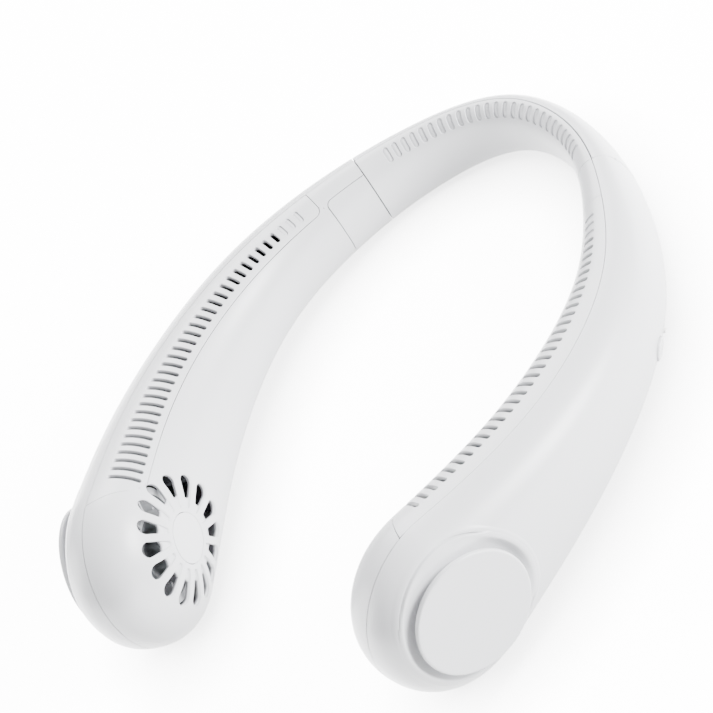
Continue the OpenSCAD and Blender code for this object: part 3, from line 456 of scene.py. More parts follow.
def stadium(long, wide, straight, curved):
    """Outline of a long round-ended hole, in millimetres, y along its length."""
    r = wide / 2
    reach = long / 2 - r
    ends = np.linspace(0, math.pi, curved + 1)
    sides = np.linspace(-reach, reach, straight + 1)[1:-1]
    right = [(r, y) for y in sides]
    top = [(r * math.cos(t), reach + r * math.sin(t)) for t in ends]
    left = [(-r, -y) for y in sides]
    low = [(-r * math.cos(t), -reach - r * math.sin(t)) for t in ends]
    return np.array(top + left + low + right)


def arc_table(u, middle):
    """Angles up to 45 degrees either side of one, and the length of the section's curve up to each."""
    a = np.linspace(middle - 45, middle + 45, 181)
    p = skin(np.full(len(a), u), a)
    length = np.concatenate([[0], np.cumsum(np.linalg.norm(np.diff(p, axis=0), axis=1))])
    return a, length


def stretch(s, angle):
    """Length of skin to a millimetre along the arm, at one point."""
    u, d = share(s), 1e-3
    return float(np.linalg.norm(skin(u + d, angle) - skin(u - d, angle)) / (2 * d * LENGTH))


def hole_outline(s, a0, outline):
    """Stations and angles of a flat outline laid on the skin round one point."""
    a, length = arc_table(abs(share(s)), a0)
    middle = np.interp(a0, a, length)
    x, y = outline.T
    return share(s + x / stretch(s, a0)), np.interp(middle + y, length, a)


def join(bm, other):
    """Adds another mesh's geometry to a piece."""
    mesh = bpy.data.meshes.new("part")
    other.to_mesh(mesh)
    other.free()
    bm.from_mesh(mesh)
    bpy.data.meshes.remove(mesh)


def cell_border(s0, s1, low, high, across, up):
    """Border of a cell from its upper edge round, matched to a stadium's outline."""
    def point(x, y):
        s = s0 + (s1 - s0) * x
        return s, low(s) + (high(s) - low(s)) * y
    xs = np.linspace(1, 0, across + 1)
    ys = np.linspace(1, 0, up + 1)
    top = [point(x, 1) for x in xs]
    left = [point(0, y) for y in ys[1:-1]]
    bottom = [point(x, 0) for x in xs[::-1]]
    right = [point(1, y) for y in ys[::-1][1:-1]]
    return np.array(top + left + bottom + right)


# ---------------------------------------------------------------- where the pieces meet

HINGE_U = share(HINGE_REACH)
PIN_OUT = float(halves(np.array([HINGE_U]))[1][0]) - PIN_INSET
_pin_at, _pin_run, _pin_up, _pin_out = (v[0] for v in axes(np.array([HINGE_U])))
PIN = _pin_at + PIN_OUT * _pin_out
ARM_S0 = HINGE_REACH + JOINT_GAP / 2
NECK_S = HINGE_REACH - JOINT_GAP / 2
COVER_S1 = HINGE_REACH + HINGE_COVER
STRIP_S0 = COVER_S1 + STRIP_GAP
STRIP_S1 = LENGTH - STRIP_STOP
TIP_S = LENGTH + ROUND_END * TIP_SHARE


def station(s):
    """Station at a distance along the arm, and on round its end."""
    s = np.asarray(s, float)
    return np.where(np.abs(s) < LENGTH, s / LENGTH, 1 + (s - LENGTH) / ROUND_END)


def half_seam():
    return mm("seam") / 2


def seam_line(top, side):
    """A shell's edge along a seam; side is 1 for the outer shell and -1 for the inner."""
    def angle(s):
        w = halves(np.abs(station(s)))[1]
        x0 = w * math.cos(TOP_SEAM * DEG) ** (2 / SECTION_ROUND) if top else 0 * w
        ratio = np.clip((x0 + side * half_seam()) / np.maximum(w, TINY), -1, 1)
        a = np.degrees(np.arccos(power(ratio, SECTION_ROUND / 2)))
        return a if top else (-a if side > 0 else 360 - a)
    return angle


def strip_end(a):
    """How much further along the arm the vent strip's end lies at an angle than at its inner corner."""
    return STRIP_SLANT * np.clip((STRIP_EDGE - a) / (STRIP_EDGE - TOP_SEAM), 0, 1) ** SLANT_BEND


def edge_line(base, side, corners=()):
    """An edge at a fixed angle, set to one side by half a seam, that turns away at rounded corners."""
    def angle(s):
        s = np.asarray(s, float)
        u = share(np.abs(s))
        a = base + side * np.degrees(np.arctan2(half_seam(), halves(u)[0]))
        per_degree = np.linalg.norm(skin(u, a + 0.5) - skin(u, a - 0.5), axis=-1)
        for place, way, r, lift in corners:
            d = (s - place) * way
            bow = r - np.sqrt(np.maximum(r * r - np.maximum(r - d, 0) ** 2, 0))
            a = a + lift * np.where(d >= 0, bow, r * np.clip(1 + d / CORNER_RUN, 0, 1)) / per_degree
        return a
    return angle


def strip_line(side):
    """The vent strip's inner edge; side is 1 towards greater angles."""
    g = side * half_seam()
    return edge_line(STRIP_EDGE, side, ((STRIP_S0 - g, 1, STRIP_CORNERS[0] + g, -1),
                                        (STRIP_S1 + g, -1, STRIP_CORNERS[1] + g, -1)))


def cover_line(base, side):
    """The hinge cover's long edges; side is 1 towards greater angles."""
    out = side if base > 180 else -side
    g = out * half_seam()
    return edge_line(base, side, ((COVER_S1 + g, -1, COVER_CORNER + g, 1 if base < 180 else -1),))


def pin_relief(p):
    """Wall left beside the hinge knuckles, and the full wall elsewhere."""
    q = flipped(p, p[:, 0] < 0) - PIN
    d, up = q @ _pin_run, q @ _pin_up
    room = PIN_INSET - np.sqrt(np.maximum(KNUCKLE_ROOM ** 2 - d * d, 0)) - KNUCKLE_GAP
    beside = (np.abs(up) < KNUCKLE_REACH) & (q @ _pin_out > 0)
    return np.where(beside, np.clip(room, THIN_WALL, mm("wall")), mm("wall"))


def lean_back(u, a):
    """Stations of an arm's end face, which leans back outside the pin."""
    x = halves(u)[1] * power(np.cos(a * DEG), 2 / SECTION_ROUND)
    return u + share(np.maximum(0, x - PIN_OUT) * math.tan(SWING * DEG))


def spaced(start, stop, step):
    """Even places from start to stop, about a step apart."""
    return np.linspace(start, stop, max(2, round(abs(stop - start) / step) + 1))


def rounding(place, r, way, steps=5):
    """Stations that follow a rounded corner of radius r which ends at place."""
    return place - way * r * (1 - np.sin(np.linspace(0, 1, steps) * math.pi / 2))


def even_by_turn(points, count):
    """Points of a polyline with its ends, spaced half by turn about the fan axis and half by length."""
    p = skin(points[:, 0], points[:, 1])
    turn = np.unwrap(np.radians(fan_turn(p)))
    run = np.concatenate([[0], np.cumsum(np.linalg.norm(np.diff(p, axis=0), axis=1))])
    way = 0.5 * (turn - turn[0]) / (turn[-1] - turn[0]) + 0.5 * run / run[-1]
    at = np.linspace(0, 1, count + 1)
    return np.stack([np.interp(at, way, points[:, 0]), np.interp(at, way, points[:, 1])], -1)


def seam_points(s0, top, side):
    """Stations and angles along a seam, from s0 to the tip."""
    s = spaced(s0, TIP_S, SEAM_STEP)
    return np.stack([station(s), seam_line(top, side)(s)], -1)


# ---------------------------------------------------------------- shells

HINGE_STATIONS = [ARM_S0 + d for d in END_OFFSETS]
NECK_ENDS = [NECK_S - d for d in END_OFFSETS]
ARM_STATIONS = np.concatenate([HINGE_STATIONS, spaced(ARM_S0 + ARM_START, FAN_S, ARM_STEP)])
# Runs of stations of the outer shell, closer beside the controls: start, stop and step
OUTER_RUNS = ((ARM_S0 + ARM_START, 104.2, ARM_STEP), (104.2, 117.9, 1.6), (117.9, 120.3, 1.3),
              (120.3, 124.2, 1.0), (124.2, 135.9, 1.5), (135.9, FAN_S, ARM_STEP))
OUTER_STATIONS = np.concatenate([HINGE_STATIONS, *[spaced(*run)[:-1] for run in OUTER_RUNS], [FAN_S]])


def even_angles(low, high, s, columns):
    """Even angles from one edge to another at a place along the arm."""
    return np.linspace(float(low(s)), float(high(s)), columns + 1)


def arm_sheet(bm, s, low, high, columns, lean=False):
    """Part of the skin between two edges, through the stations s."""
    rows = []
    for i, x in enumerate(s):
        u = float(station(x))
        a = even_angles(low, high, x, columns)
        us = lean_back(np.full(len(a), u), a) if lean and i == 0 else np.full(len(a), u)
        rows.append(skin(us, a))
    return lay(bm, rows)


def blend_rows(inner, outer):
    """Rows on the skin from one closed row of points to another."""
    rows = []
    for q in np.linspace(0, 1, BLEND_RINGS + 1):
        p = inner + (outer - inner) * q
        rows.append(p if q in (0, 1) else settle(p)[0])
    return rows


def cell(bm, hole, border):
    """Skin between a hole and the border of its cell, both as stations and angles."""
    lay(bm, [skin(*(hole + (border - hole) * q).T) for q in HOLE_ROWS], around=True)


def open_hole(bm, sheet, low, high, s, row, r, reach):
    """Opens a hole in a shell, in place of a block of faces; reach is half its straight length."""
    a, arc = arc_table(share(s), row)
    pull = stretch(s, row)
    middle = np.interp(row, a, arc)
    height = np.interp(even_angles(low, high, s, OUTER_COLUMNS), a, arc) - middle
    wide, tall = (r + reach + HOLE_CLEAR) / pull, r + HOLE_CLEAR
    i0 = int(np.searchsorted(OUTER_STATIONS, s - wide, "right")) - 1
    i1 = int(np.searchsorted(OUTER_STATIONS, s + wide, "left"))
    j0 = int(np.searchsorted(height, -tall, "right")) - 1
    j1 = int(np.searchsorted(height, tall, "left"))
    around = ([(i0, j) for j in range(j0, j1)] + [(i, j1) for i in range(i0, i1)]
              + [(i1, j) for j in range(j1, j0, -1)] + [(i, j0) for i in range(i1, i0, -1)])
    border, hole = [], []
    for i, j in around:
        x = OUTER_STATIONS[i]
        angle = float(low(x)) + (float(high(x)) - float(low(x))) * j / OUTER_COLUMNS
        dx, dy = (x - s) * pull, float(np.interp(angle, a, arc) - middle)
        # Each point of the border goes straight in towards the hole's middle line
        cx = reach * max(-1, min(1, dx / (r + reach)))
        d = math.hypot(dx - cx, dy)
        px, py = cx + r * (dx - cx) / d, r * dy / d
        border.append((share(x), angle))
        hole.append((share(s + px / pull), float(np.interp(middle + py, arc, a))))
    n = OUTER_COLUMNS + 1
    block = {sheet[i * n + j] for i in range(i0, i1 + 1) for j in range(j0, j1 + 1)}
    gone = [f for f in bm.faces if all(v in block for v in f.verts)]
    bmesh.ops.delete(bm, geom=gone, context="FACES_ONLY")
    cell(bm, np.array(hole), np.array(border))


def outer_shell(controls):
    """Sheet of an arm's outer half, with holes for the button, light and socket if it has controls."""
    bm = bmesh.new()
    low, high = seam_line(False, 1), seam_line(True, 1)
    sheet = arm_sheet(bm, OUTER_STATIONS, low, high, OUTER_COLUMNS, lean=True)
    if controls:
        for hole in CONTROLS:
            open_hole(bm, sheet, low, high, *hole)
        bmesh.ops.delete(bm, geom=[v for v in bm.verts if not v.link_faces], context="VERTS")
    cross = np.stack([np.full(OUTER_COLUMNS + 1, share(FAN_S)),
                      even_angles(low, high, FAN_S, OUTER_COLUMNS)], -1)
    seam = np.concatenate([seam_points(FAN_S, True, 1), seam_points(FAN_S, False, 1)[::-1][1:]])
    around = np.concatenate([even_by_turn(seam, RAYS - OUTER_COLUMNS)[:-1], cross[:-1]])
    border = skin(around[:, 0], around[:, 1])
    turns = fan_turn(border)
    rows = []
    for d, lift in RING_SHAPE:
        p, n = settle(at_fan(BEZEL_R + d, turns, SKIN_LEVEL), FAN_OUT)
        rows.append(p + n * lift)
    lay(bm, rows[:-1] + blend_rows(rows[-1], border), around=True)
    return weld(bm)


def on_grille(r, turn):
    """Points of the skin's inner side, round the fan axis."""
    return settle(at_fan(r, turn, -SKIN_LEVEL), FAN_OUT)[0]


def inner_shell():
    """Sheet of an arm's inner half, open where the hinge cover and the vent strip go."""
    bm, half = bmesh.new(), half_seam()
    top, low = seam_line(True, -1), seam_line(False, -1)
    strip, cover_top, cover_low = strip_line(1), cover_line(COVER_FROM, -1), cover_line(COVER_TURN, 1)
    s_cover, s_strip, s_end = COVER_S1 + half, STRIP_S0 - half, STRIP_S1 + half

    # Border round the grille: the strip's edge, its end, the seam round the tip, and across the arm
    s = np.concatenate([spaced(FAN_S, s_end - TIP_CLEAR, SEAM_STEP),
                        rounding(s_end, STRIP_CORNERS[1] + half, 1, steps=14)])
    edge = np.stack([share(s), strip(s)], -1)
    end = np.linspace(edge[-1, 1], float(top(s_end + STRIP_SLANT)), 24)[1:]
    edge = np.concatenate([edge, np.stack([station(s_end + strip_end(end)), end], -1)])
    seam = np.concatenate([seam_points(s_end + float(strip_end(end[-1])), True, -1),
                           seam_points(FAN_S, False, -1)[::-1][1:]])
    turns = [float(fan_turn(skin(*p))) for p in (edge[0], edge[-1], seam[-1])]
    at_rays = [round((turns[0] + (t - turns[0]) % 360) / RAY) for t in turns]
    at_rays.append(at_rays[0] + RAYS)
    counts = [b - a for a, b in zip(at_rays, at_rays[1:])]
    middle = counts[2] - SIDE_COLUMNS
    corners = [float(edge_at(FAN_S)) for edge_at in (low, cover_low, strip)]
    across = np.concatenate([np.linspace(corners[0], corners[1], SIDE_COLUMNS + 1)[:-1],
                             np.linspace(corners[1], corners[2], middle + 1)])
    cross = np.stack([np.full(len(across), share(FAN_S)), across], -1)
    around = np.concatenate([even_by_turn(edge, counts[0])[:-1], even_by_turn(seam, counts[1])[:-1],
                             cross[:-1]])
    border = skin(around[:, 0], around[:, 1])

    # The grille's patch stays clear of that border
    line_all = np.concatenate([edge, seam[1:]])
    d = skin(line_all[:, 0], line_all[:, 1]) - FAN_CENTRE
    reach = np.linalg.norm(d - (d @ FAN_OUT)[:, None] * FAN_OUT, axis=1)
    turn = np.degrees(np.unwrap(np.arctan2(d @ FAN_TOP, d @ FAN_SIDE)))

    def ring_reach(t):
        t = (np.asarray(t, float) - turn[0]) % 360 + turn[0]
        near = np.min([np.interp(t + k, turn, reach, left=99, right=99) for k in (-RAY, 0, RAY)], 0)
        return np.clip(near - RING_GAP, RING_FLOOR, RING_MOST)
    ring_turns = (at_rays[0] + np.arange(RAYS)) * RAY
    ring = on_grille(ring_reach(ring_turns), ring_turns)
    lay(bm, blend_rows(ring, border), around=True)
    grille_cells(bm, ring_reach)

    # The arm, in strips that leave the hinge cover and the vent strip open
    near = np.concatenate([ARM_STATIONS[ARM_STATIONS < s_cover - COVER_CLEAR],
                           rounding(s_cover, COVER_CORNER + half, 1)])
    between = np.linspace(s_cover, s_strip, 3)
    far = np.concatenate([rounding(s_strip, STRIP_CORNERS[0] + half, -1)[::-1],
                          ARM_STATIONS[ARM_STATIONS > s_strip + STRIP_CLEAR]])
    for part, start, stop, columns in (
            (near, top, cover_top, COVER_COLUMNS), (near, cover_low, low, SIDE_COLUMNS),
            (between, top, cover_top, COVER_COLUMNS), (between, cover_top, strip, 1),
            (between, strip, cover_low, middle), (between, cover_low, low, SIDE_COLUMNS),
            (far, strip, cover_low, middle), (far, cover_low, low, SIDE_COLUMNS)):
        arm_sheet(bm, part, start, stop, columns)
    return weld(bm)


def petal_outline():
    """One petal seen along the fan axis, y outwards, from its recess's round end to its wide end."""
    ends = np.linspace(0, math.pi, 11)
    sides = np.linspace(0, 1, 9)[1:-1]
    top = [(PETAL_R * math.cos(t), PETAL_WIDE + PETAL_R * math.sin(t)) for t in ends]
    left = [(-PETAL_R + (PETAL_R - PETAL_TIP) * k, PETAL_WIDE + (PETAL_END - PETAL_WIDE) * k)
            for k in sides]
    bottom = [(-PETAL_TIP * math.cos(t), PETAL_END - PETAL_TIP * math.sin(t)) for t in ends]
    right = [(-x, y) for x, y in left[::-1]]
    return np.array(top + left + bottom + right)


def plan_turn(points, centre):
    """Radii and turns of points in a plan whose y axis lies at the turn centre."""
    x, y = points[..., 0], points[..., 1]
    return np.hypot(x, y), centre + np.degrees(np.arctan2(x, y))


def grille_cells(bm, ring_reach):
    """The grille between the hub and its ring, a wedge round each petal."""
    step = 360 / PETAL_COUNT
    petal = np.roll(petal_outline(), -2, axis=0)
    hole_r = HUB_R + HUB_CLEAR
    x = np.linspace(step / 2, -step / 2, 7)
    rise = np.linspace(0, 1, 13)[1:-1]
    for c in np.arange(PETAL_COUNT) * step:
        top = [(float(ring_reach(c + t)), t) for t in x]
        left = [(hole_r + (top[-1][0] - hole_r) * k, x[-1]) for k in rise[::-1]]
        bottom = [(hole_r, t) for t in x[::-1]]
        right = [(hole_r + (top[0][0] - hole_r) * k, x[0]) for k in rise]
        r, t = np.array(top + left + bottom + right).T
        border = np.stack([r * np.sin(t * DEG), r * np.cos(t * DEG)], -1)
        lay(bm, [on_grille(*plan_turn(petal + (border - petal) * q, c)) for q in HOLE_ROWS], around=True)


def petal_webs():
    """The shallow floors at the narrow ends of the petals, over the motor's mount."""
    ys = np.concatenate([PETAL_END - PETAL_TIP * np.cos(np.linspace(0.1, 0.5, 4) * math.pi),
                         np.linspace(PETAL_END, PETAL_OPEN, 4)[1:]])
    plan = []
    for y in ys:
        if y < PETAL_END:
            half = math.sqrt(max(PETAL_TIP ** 2 - (PETAL_END - y) ** 2, 0))
        else:
            half = PETAL_TIP + (PETAL_R - PETAL_TIP) * (y - PETAL_END) / (PETAL_WIDE - PETAL_END)
        x = np.linspace(-1, 1, 7) * (half + OVERLAP)
        bow = 0.5 * (x / half) ** 2 if y == ys[-1] else 0 * x
        plan.append(np.stack([x, y + bow], -1))
    r, t = plan_turn(np.array(plan), 0)
    turns = np.arange(PETAL_COUNT)[:, None, None] * 360 / PETAL_COUNT
    points, normals = settle(at_fan(r, t + turns, -SKIN_LEVEL), FAN_OUT)
    bm = bmesh.new()
    for p, n in zip(points, normals):
        lay(bm, p - n * mm("web_depth"))
    return floors(bm, WEB_T)


def blind_floors(marks, deep):
    """Floors of blind holes, a little wider than the holes so that they join their walls."""
    bm = bmesh.new()
    for _, _, middle, angle, long, wide in marks:
        r, reach = wide / 2 + OVERLAP, (long - wide) / 2
        turn = np.linspace(-math.pi / 2, math.pi / 2, 9)
        ys = np.concatenate([-reach + r * np.sin(turn[:5]), np.linspace(-reach, reach, 7)[1:-1],
                             reach + r * np.sin(turn[4:])])
        half = np.sqrt(np.maximum(r * r - np.maximum(np.abs(ys) - reach, 0) ** 2, 0))
        rows = []
        for y, w in zip(ys, half):
            u, a = hole_outline(middle, angle, np.array([(-w, y), (0, y), (w, y)]))
            rows.append(skin(u, a) - skin_normal(u, a) * deep)
        lay(bm, rows)
    return floors(weld(bm), BLIND_T)


def hole_cells(bm, marks, low, high, across, up, curved, straight):
    """Cells with a round-ended hole each; marks are (start, stop, middle, angle, length, width)."""
    for s0, s1, middle, angle, long, wide in marks:
        hole = np.stack(hole_outline(middle, angle, stadium(long, wide, straight, curved)), -1)
        border = cell_border(s0, s1, low, high, across, up)
        border[:, 0] = share(border[:, 0])
        cell(bm, np.roll(hole, -((curved - across) // 2), axis=0), border)


def mark(s, angle, long, wide):
    """A hole in the middle of a cell one pitch long."""
    return s - SLOT_PITCH / 2, s + SLOT_PITCH / 2, s, angle, long, wide


def vent_strip():
    """Sheet of an arm's vent strip, and the marks of its blind slots."""
    bm, half = bmesh.new(), half_seam()
    low, high = seam_line(True, -1), strip_line(-1)
    marks = []
    for i in range(SLOT_COUNT + BLIND_COUNT):
        long = SLOT_LONG + (SLOT_SHORT - SLOT_LONG) * min(1, i / (SLOT_COUNT - 1))
        marks.append(mark(LENGTH - SLOT_FIRST - i * SLOT_PITCH, SLOT_ROW, long, mm("slot_width")))
    hole_cells(bm, marks, low, high, across=4, up=STRIP_COLUMNS, curved=8, straight=8)
    near = rounding(STRIP_S0 + half, STRIP_CORNERS[0] - half, -1)[::-1]
    near = np.append(near, spaced(near[-1], marks[-1][0], NEAR_STEP)[1:])
    arm_sheet(bm, near, low, high, STRIP_COLUMNS)
    far = spaced(marks[0][1], STRIP_S1 - half, FAR_STEP)
    rows = []
    for x, part in zip(far, np.linspace(0, 1, len(far))):
        a = np.linspace(float(low(x + part * STRIP_SLANT)), float(high(x)), STRIP_COLUMNS + 1)
        rows.append(skin(station(x + part * strip_end(a)), a))
    lay(bm, rows)
    return weld(bm), marks[SLOT_COUNT:]


def hinge_cover():
    """Sheet of the cover over an arm's hinge."""
    bm, half = bmesh.new(), half_seam()
    s_far = COVER_S1 - half
    s = np.concatenate([ARM_STATIONS[ARM_STATIONS < s_far - COVER_CLEAR],
                        rounding(s_far, COVER_CORNER - half, 1)])
    arm_sheet(bm, s, cover_line(COVER_FROM, 1), cover_line(COVER_TURN, -1), 18)
    return weld(bm)


def neck_stations(start):
    """Places from start to the neck's right end."""
    return np.concatenate([spaced(start, NECK_S - NECK_START, NECK_STEP)[:-1], [NECK_S - NECK_START],
                           NECK_ENDS[::-1]])


def neck_outer_shell():
    """Sheet of the neck band's outer half."""
    bm = bmesh.new()
    right = neck_stations(0)
    s = np.concatenate([-right[::-1], right[1:]])
    arm_sheet(bm, s, seam_line(False, 1), seam_line(True, 1), 26)
    return weld(bm)


def oval_band(side):
    """Angles along the neck a fixed way above or below the row of ovals."""
    def angle(s):
        a, length = arc_table(abs(float(station(s))), OVAL_ROW)
        middle = np.interp(OVAL_ROW, a, length)
        return np.interp(middle + side * (OVAL_LONG / 2 + OVAL_MARGIN), length, a)
    return angle


def neck_inner_shell():
    """Sheet of the neck band's inner half, and the marks of its ovals."""
    bm = bmesh.new()
    top, low = seam_line(True, -1), seam_line(False, -1)
    band_low, band_high = oval_band(-1), oval_band(1)
    marks = [mark((i + 0.5) * SLOT_PITCH, OVAL_ROW, OVAL_LONG, OVAL_W)
             for i in range(-OVAL_COUNT, OVAL_COUNT)]
    hole_cells(bm, marks, band_low, band_high, across=4, up=6, curved=6, straight=4)
    inner = np.arange(-OVAL_COUNT * 4, OVAL_COUNT * 4 + 1) * SLOT_PITCH / 4
    right = neck_stations(inner[-1])
    left = -right[::-1]
    whole = np.concatenate([left[:-1], inner, right[1:]])
    for a, b, columns in ((top, band_low, 2), (band_high, low, 22)):
        arm_sheet(bm, whole, a, b, columns)
    for s in (left, right):
        arm_sheet(bm, s, band_low, band_high, 6)
    return weld(bm), marks


# ---------------------------------------------------------------- round pieces of the fan

FAN = Matrix([*zip(FAN_SIDE, FAN_TOP, FAN_OUT, FAN_CENTRE), (0, 0, 0, 1)])


def inset(r, level, steps):
    """Points of a profile, each some way in from a radius and down from a level."""
    return [(r - d, level - z) for d, z in steps]


def turned(profile, closed=False):
    """A mesh spun round the z axis from a profile of radii and levels."""
    bm = bmesh.new()
    verts = [bm.verts.new((r, 0, z)) for r, z in profile]
    pairs = list(zip(verts, verts[1:])) + ([(verts[-1], verts[0])] if closed else [])
    edges = [bm.edges.new(pair) for pair in pairs]
    bmesh.ops.spin(bm, geom=verts + edges, cent=(0, 0, 0), axis=(0, 0, 1), dvec=(0, 0, 0),
                   angle=2 * math.pi, steps=TURN_STEPS, use_merge=True)
    return weld(bm, TURNED_WELD_GAP)


def skin_levels(r, turn):
    """Level of the outer skin along the fan axis at radius r and a turn."""
    return (settle(at_fan(r, turn, SKIN_LEVEL), FAN_OUT)[0] - FAN_CENTRE) @ FAN_OUT


# Wall of the opening, its crest and the hollow inside it, then the lip of the eye
BEZEL_PROFILE = [(BEZEL_R + d, level) for d, level in (
    (0.16, FLOOR_LEVEL - FLOOR_T), (0.16, FLOOR_LEVEL - 0.01), (0.16, 17.35), (0.85, 17.6), (0.96, 17.9),
    (0.84, 18.04), (0.5, 18.1), (0, 18.1), (-0.4, 18.04), (-0.85, 17.93), (-1.2, 17.66), (-1.7, 17.0),
    (-2.3, 16.22), (-2.9, 15.56), (-3.5, 15.06), (-4.2, 14.68), (-5.1, 14.46), (-6.2, FLOOR_LEVEL))]
BEZEL_PROFILE += inset(EYE_R, FLOOR_LEVEL, ((-0.4, 0), (-0.12, 0.12), (0, 0.4), (0, FLOOR_T)))
# The hollow starts at CREST_R; from FOLLOW_R outwards the ring keeps its height over the skin
CREST_R, FOLLOW_R, FOOT_SUNK = BEZEL_R - 0.85, BEZEL_R - 0.86, 1.0
COVER_PROFILE = [(0, COVER_BACK), *inset(COVER_R, COVER_BACK, ((0.5, 0), (0.12, -0.14), (0, -0.45))),
                 *inset(COVER_R, COVER_LEVEL, ((0, 0.75), (0.06, 0.42), (0.22, 0.18), (0.46, 0.04), (0.75, 0),
                                               (1.6, 0), (4, 0), (10, 0))), (0, COVER_LEVEL)]


def intake_bezel():
    """Wall of the opening and the hollow round its cover, which runs in under the cover to the eye."""
    bm = turned(BEZEL_PROFILE, closed=True)
    raised = [v for v in bm.verts if v.co.z > FLOOR_LEVEL]
    p = coords(raised)
    turn, out, z = np.degrees(np.arctan2(p[:, 1], p[:, 0])), np.hypot(p[:, 0], p[:, 1]), p[:, 2]
    crest, brim = skin_levels(CREST_R, turn), skin_levels(np.maximum(out, CREST_R), turn)
    hollow = FLOOR_LEVEL + (z - FLOOR_LEVEL) * (crest - FLOOR_LEVEL) / (BEZEL_TOP - FLOOR_LEVEL)
    for v, level in zip(raised, np.where(out > FOLLOW_R, brim + z - BEZEL_TOP, hollow)):
        v.co.z = level
    # Where the skin falls below the floor, the foot of the wall stays under the shell
    foot = [v for v in bm.verts if v.co.z <= FLOOR_LEVEL and math.hypot(v.co.x, v.co.y) > BEZEL_R]
    p = coords(foot)
    under = skin_levels(np.hypot(p[:, 0], p[:, 1]), np.degrees(np.arctan2(p[:, 1], p[:, 0]))) - FOOT_SUNK
    for v, drop in zip(foot, np.minimum(0, under - FLOOR_LEVEL)):
        v.co.z += drop
    # Two crossed ribs over the eye
    middle = Matrix.Translation((0, 0, FLOOR_LEVEL - FLOOR_T / 2))
    size = Matrix.Diagonal((2 * EYE_R + RIB_OVER, RIB_W, FLOOR_T - HAIR, 1))
    for turn in (0, math.pi / 2):
        rib = bmesh.ops.create_cube(bm, size=1, matrix=Matrix.Rotation(turn, 4, "Z") @ middle @ size)["verts"]
        round_edges(bm, list(dict.fromkeys(e for v in rib for e in v.link_edges)), RIB_RIM)
    bmesh.ops.transform(bm, matrix=FAN, verts=bm.verts)
    return bm


def intake_cover():
    """Flat round cover on its pegs."""
    bm = turned(COVER_PROFILE)
    for i in range(PEG_COUNT):
        turn = (i + 0.5) * 2 * math.pi / PEG_COUNT
        at = (PEG_RING * math.cos(turn), PEG_RING * math.sin(turn), (FLOOR_LEVEL + COVER_BACK) / 2 + HAIR)
        bmesh.ops.create_cone(bm, cap_ends=True, segments=32, radius1=PEG_R, radius2=PEG_R - PEG_DRAFT,
                              depth=COVER_BACK - FLOOR_LEVEL + HAIR, matrix=Matrix.Translation(at))
    bmesh.ops.transform(bm, matrix=FAN, verts=bm.verts)
    return bm


def hub_cap():
    """Sheet of the disc in the middle of a grille, closed with one face round the axis."""
    bm = bmesh.new()
    turns = np.arange(48) * 7.5
    radii = (0.9, 2.4, 4.2, 6, 7.6, HUB_R - HUB_GAP)
    lay(bm, [on_grille(np.full(len(turns), r), turns) for r in radii], around=True)
    weld(bm)

    def off_axis(v):
        return (v.co - Vector(FAN_CENTRE)).cross(Vector(FAN_OUT)).length
    ring = [e for e in bm.edges if e.is_boundary and max(map(off_axis, e.verts)) < radii[1]]
    bmesh.ops.contextual_create(bm, geom=ring)
    return bm


def button_cap():
    """Flanged button with a soft edge and a shallow finger hollow, where it lies on the skin."""
    step = FLANGE_T - BUTTON_DEEP
    bm = turned([(0, -BUTTON_DEEP), (BUTTON_R + FLANGE_T, -BUTTON_DEEP), (BUTTON_R + FLANGE_T, step),
                 (BUTTON_R, step), *inset(BUTTON_R, BUTTON_PROUD, (
                     (0, 0.5), (0.07, 0.25), (0.25, 0.07), (0.5, 0), (0.8, 0.01), (1.4, 0.12), (2.2, 0.22))),
                 (0, BUTTON_PROUD - 0.28)])
    place = Matrix.Translation(skin(share(BUTTON_S), CONTROL_ROW))
    out = Vector(skin_normal(share(BUTTON_S), CONTROL_ROW)).to_track_quat("Z", "Y")
    bmesh.ops.transform(bm, matrix=place @ out.to_matrix().to_4x4(), verts=bm.verts)
    return bm


# ---------------------------------------------------------------- finishes

# Size of the patches of uneven gloss and colour, in millimetres
PATCH = 35


def srgb(code):
    """Linear colour of an sRGB hex value."""
    parts = [int(code[i:i + 2], 16) / 255 for i in (1, 3, 5)]
    return tuple(c / 12.92 if c <= 0.04045 else ((c + 0.055) / 1.055) ** 2.4 for c in parts) + (1.0,)


def add_node(tree, kind, inputs=None, **settings):
    """Adds a node, sets it and its sockets, and links the sockets that are given another's output."""
    made = tree.nodes.new(kind)
    for key, value in settings.items():
        setattr(made, key, value)
    for key, value in (inputs or {}).items():
        if isinstance(value, bpy.types.NodeSocket):
            tree.links.new(value, made.inputs[key])
        else:
            made.inputs[key].default_value = value
    return made


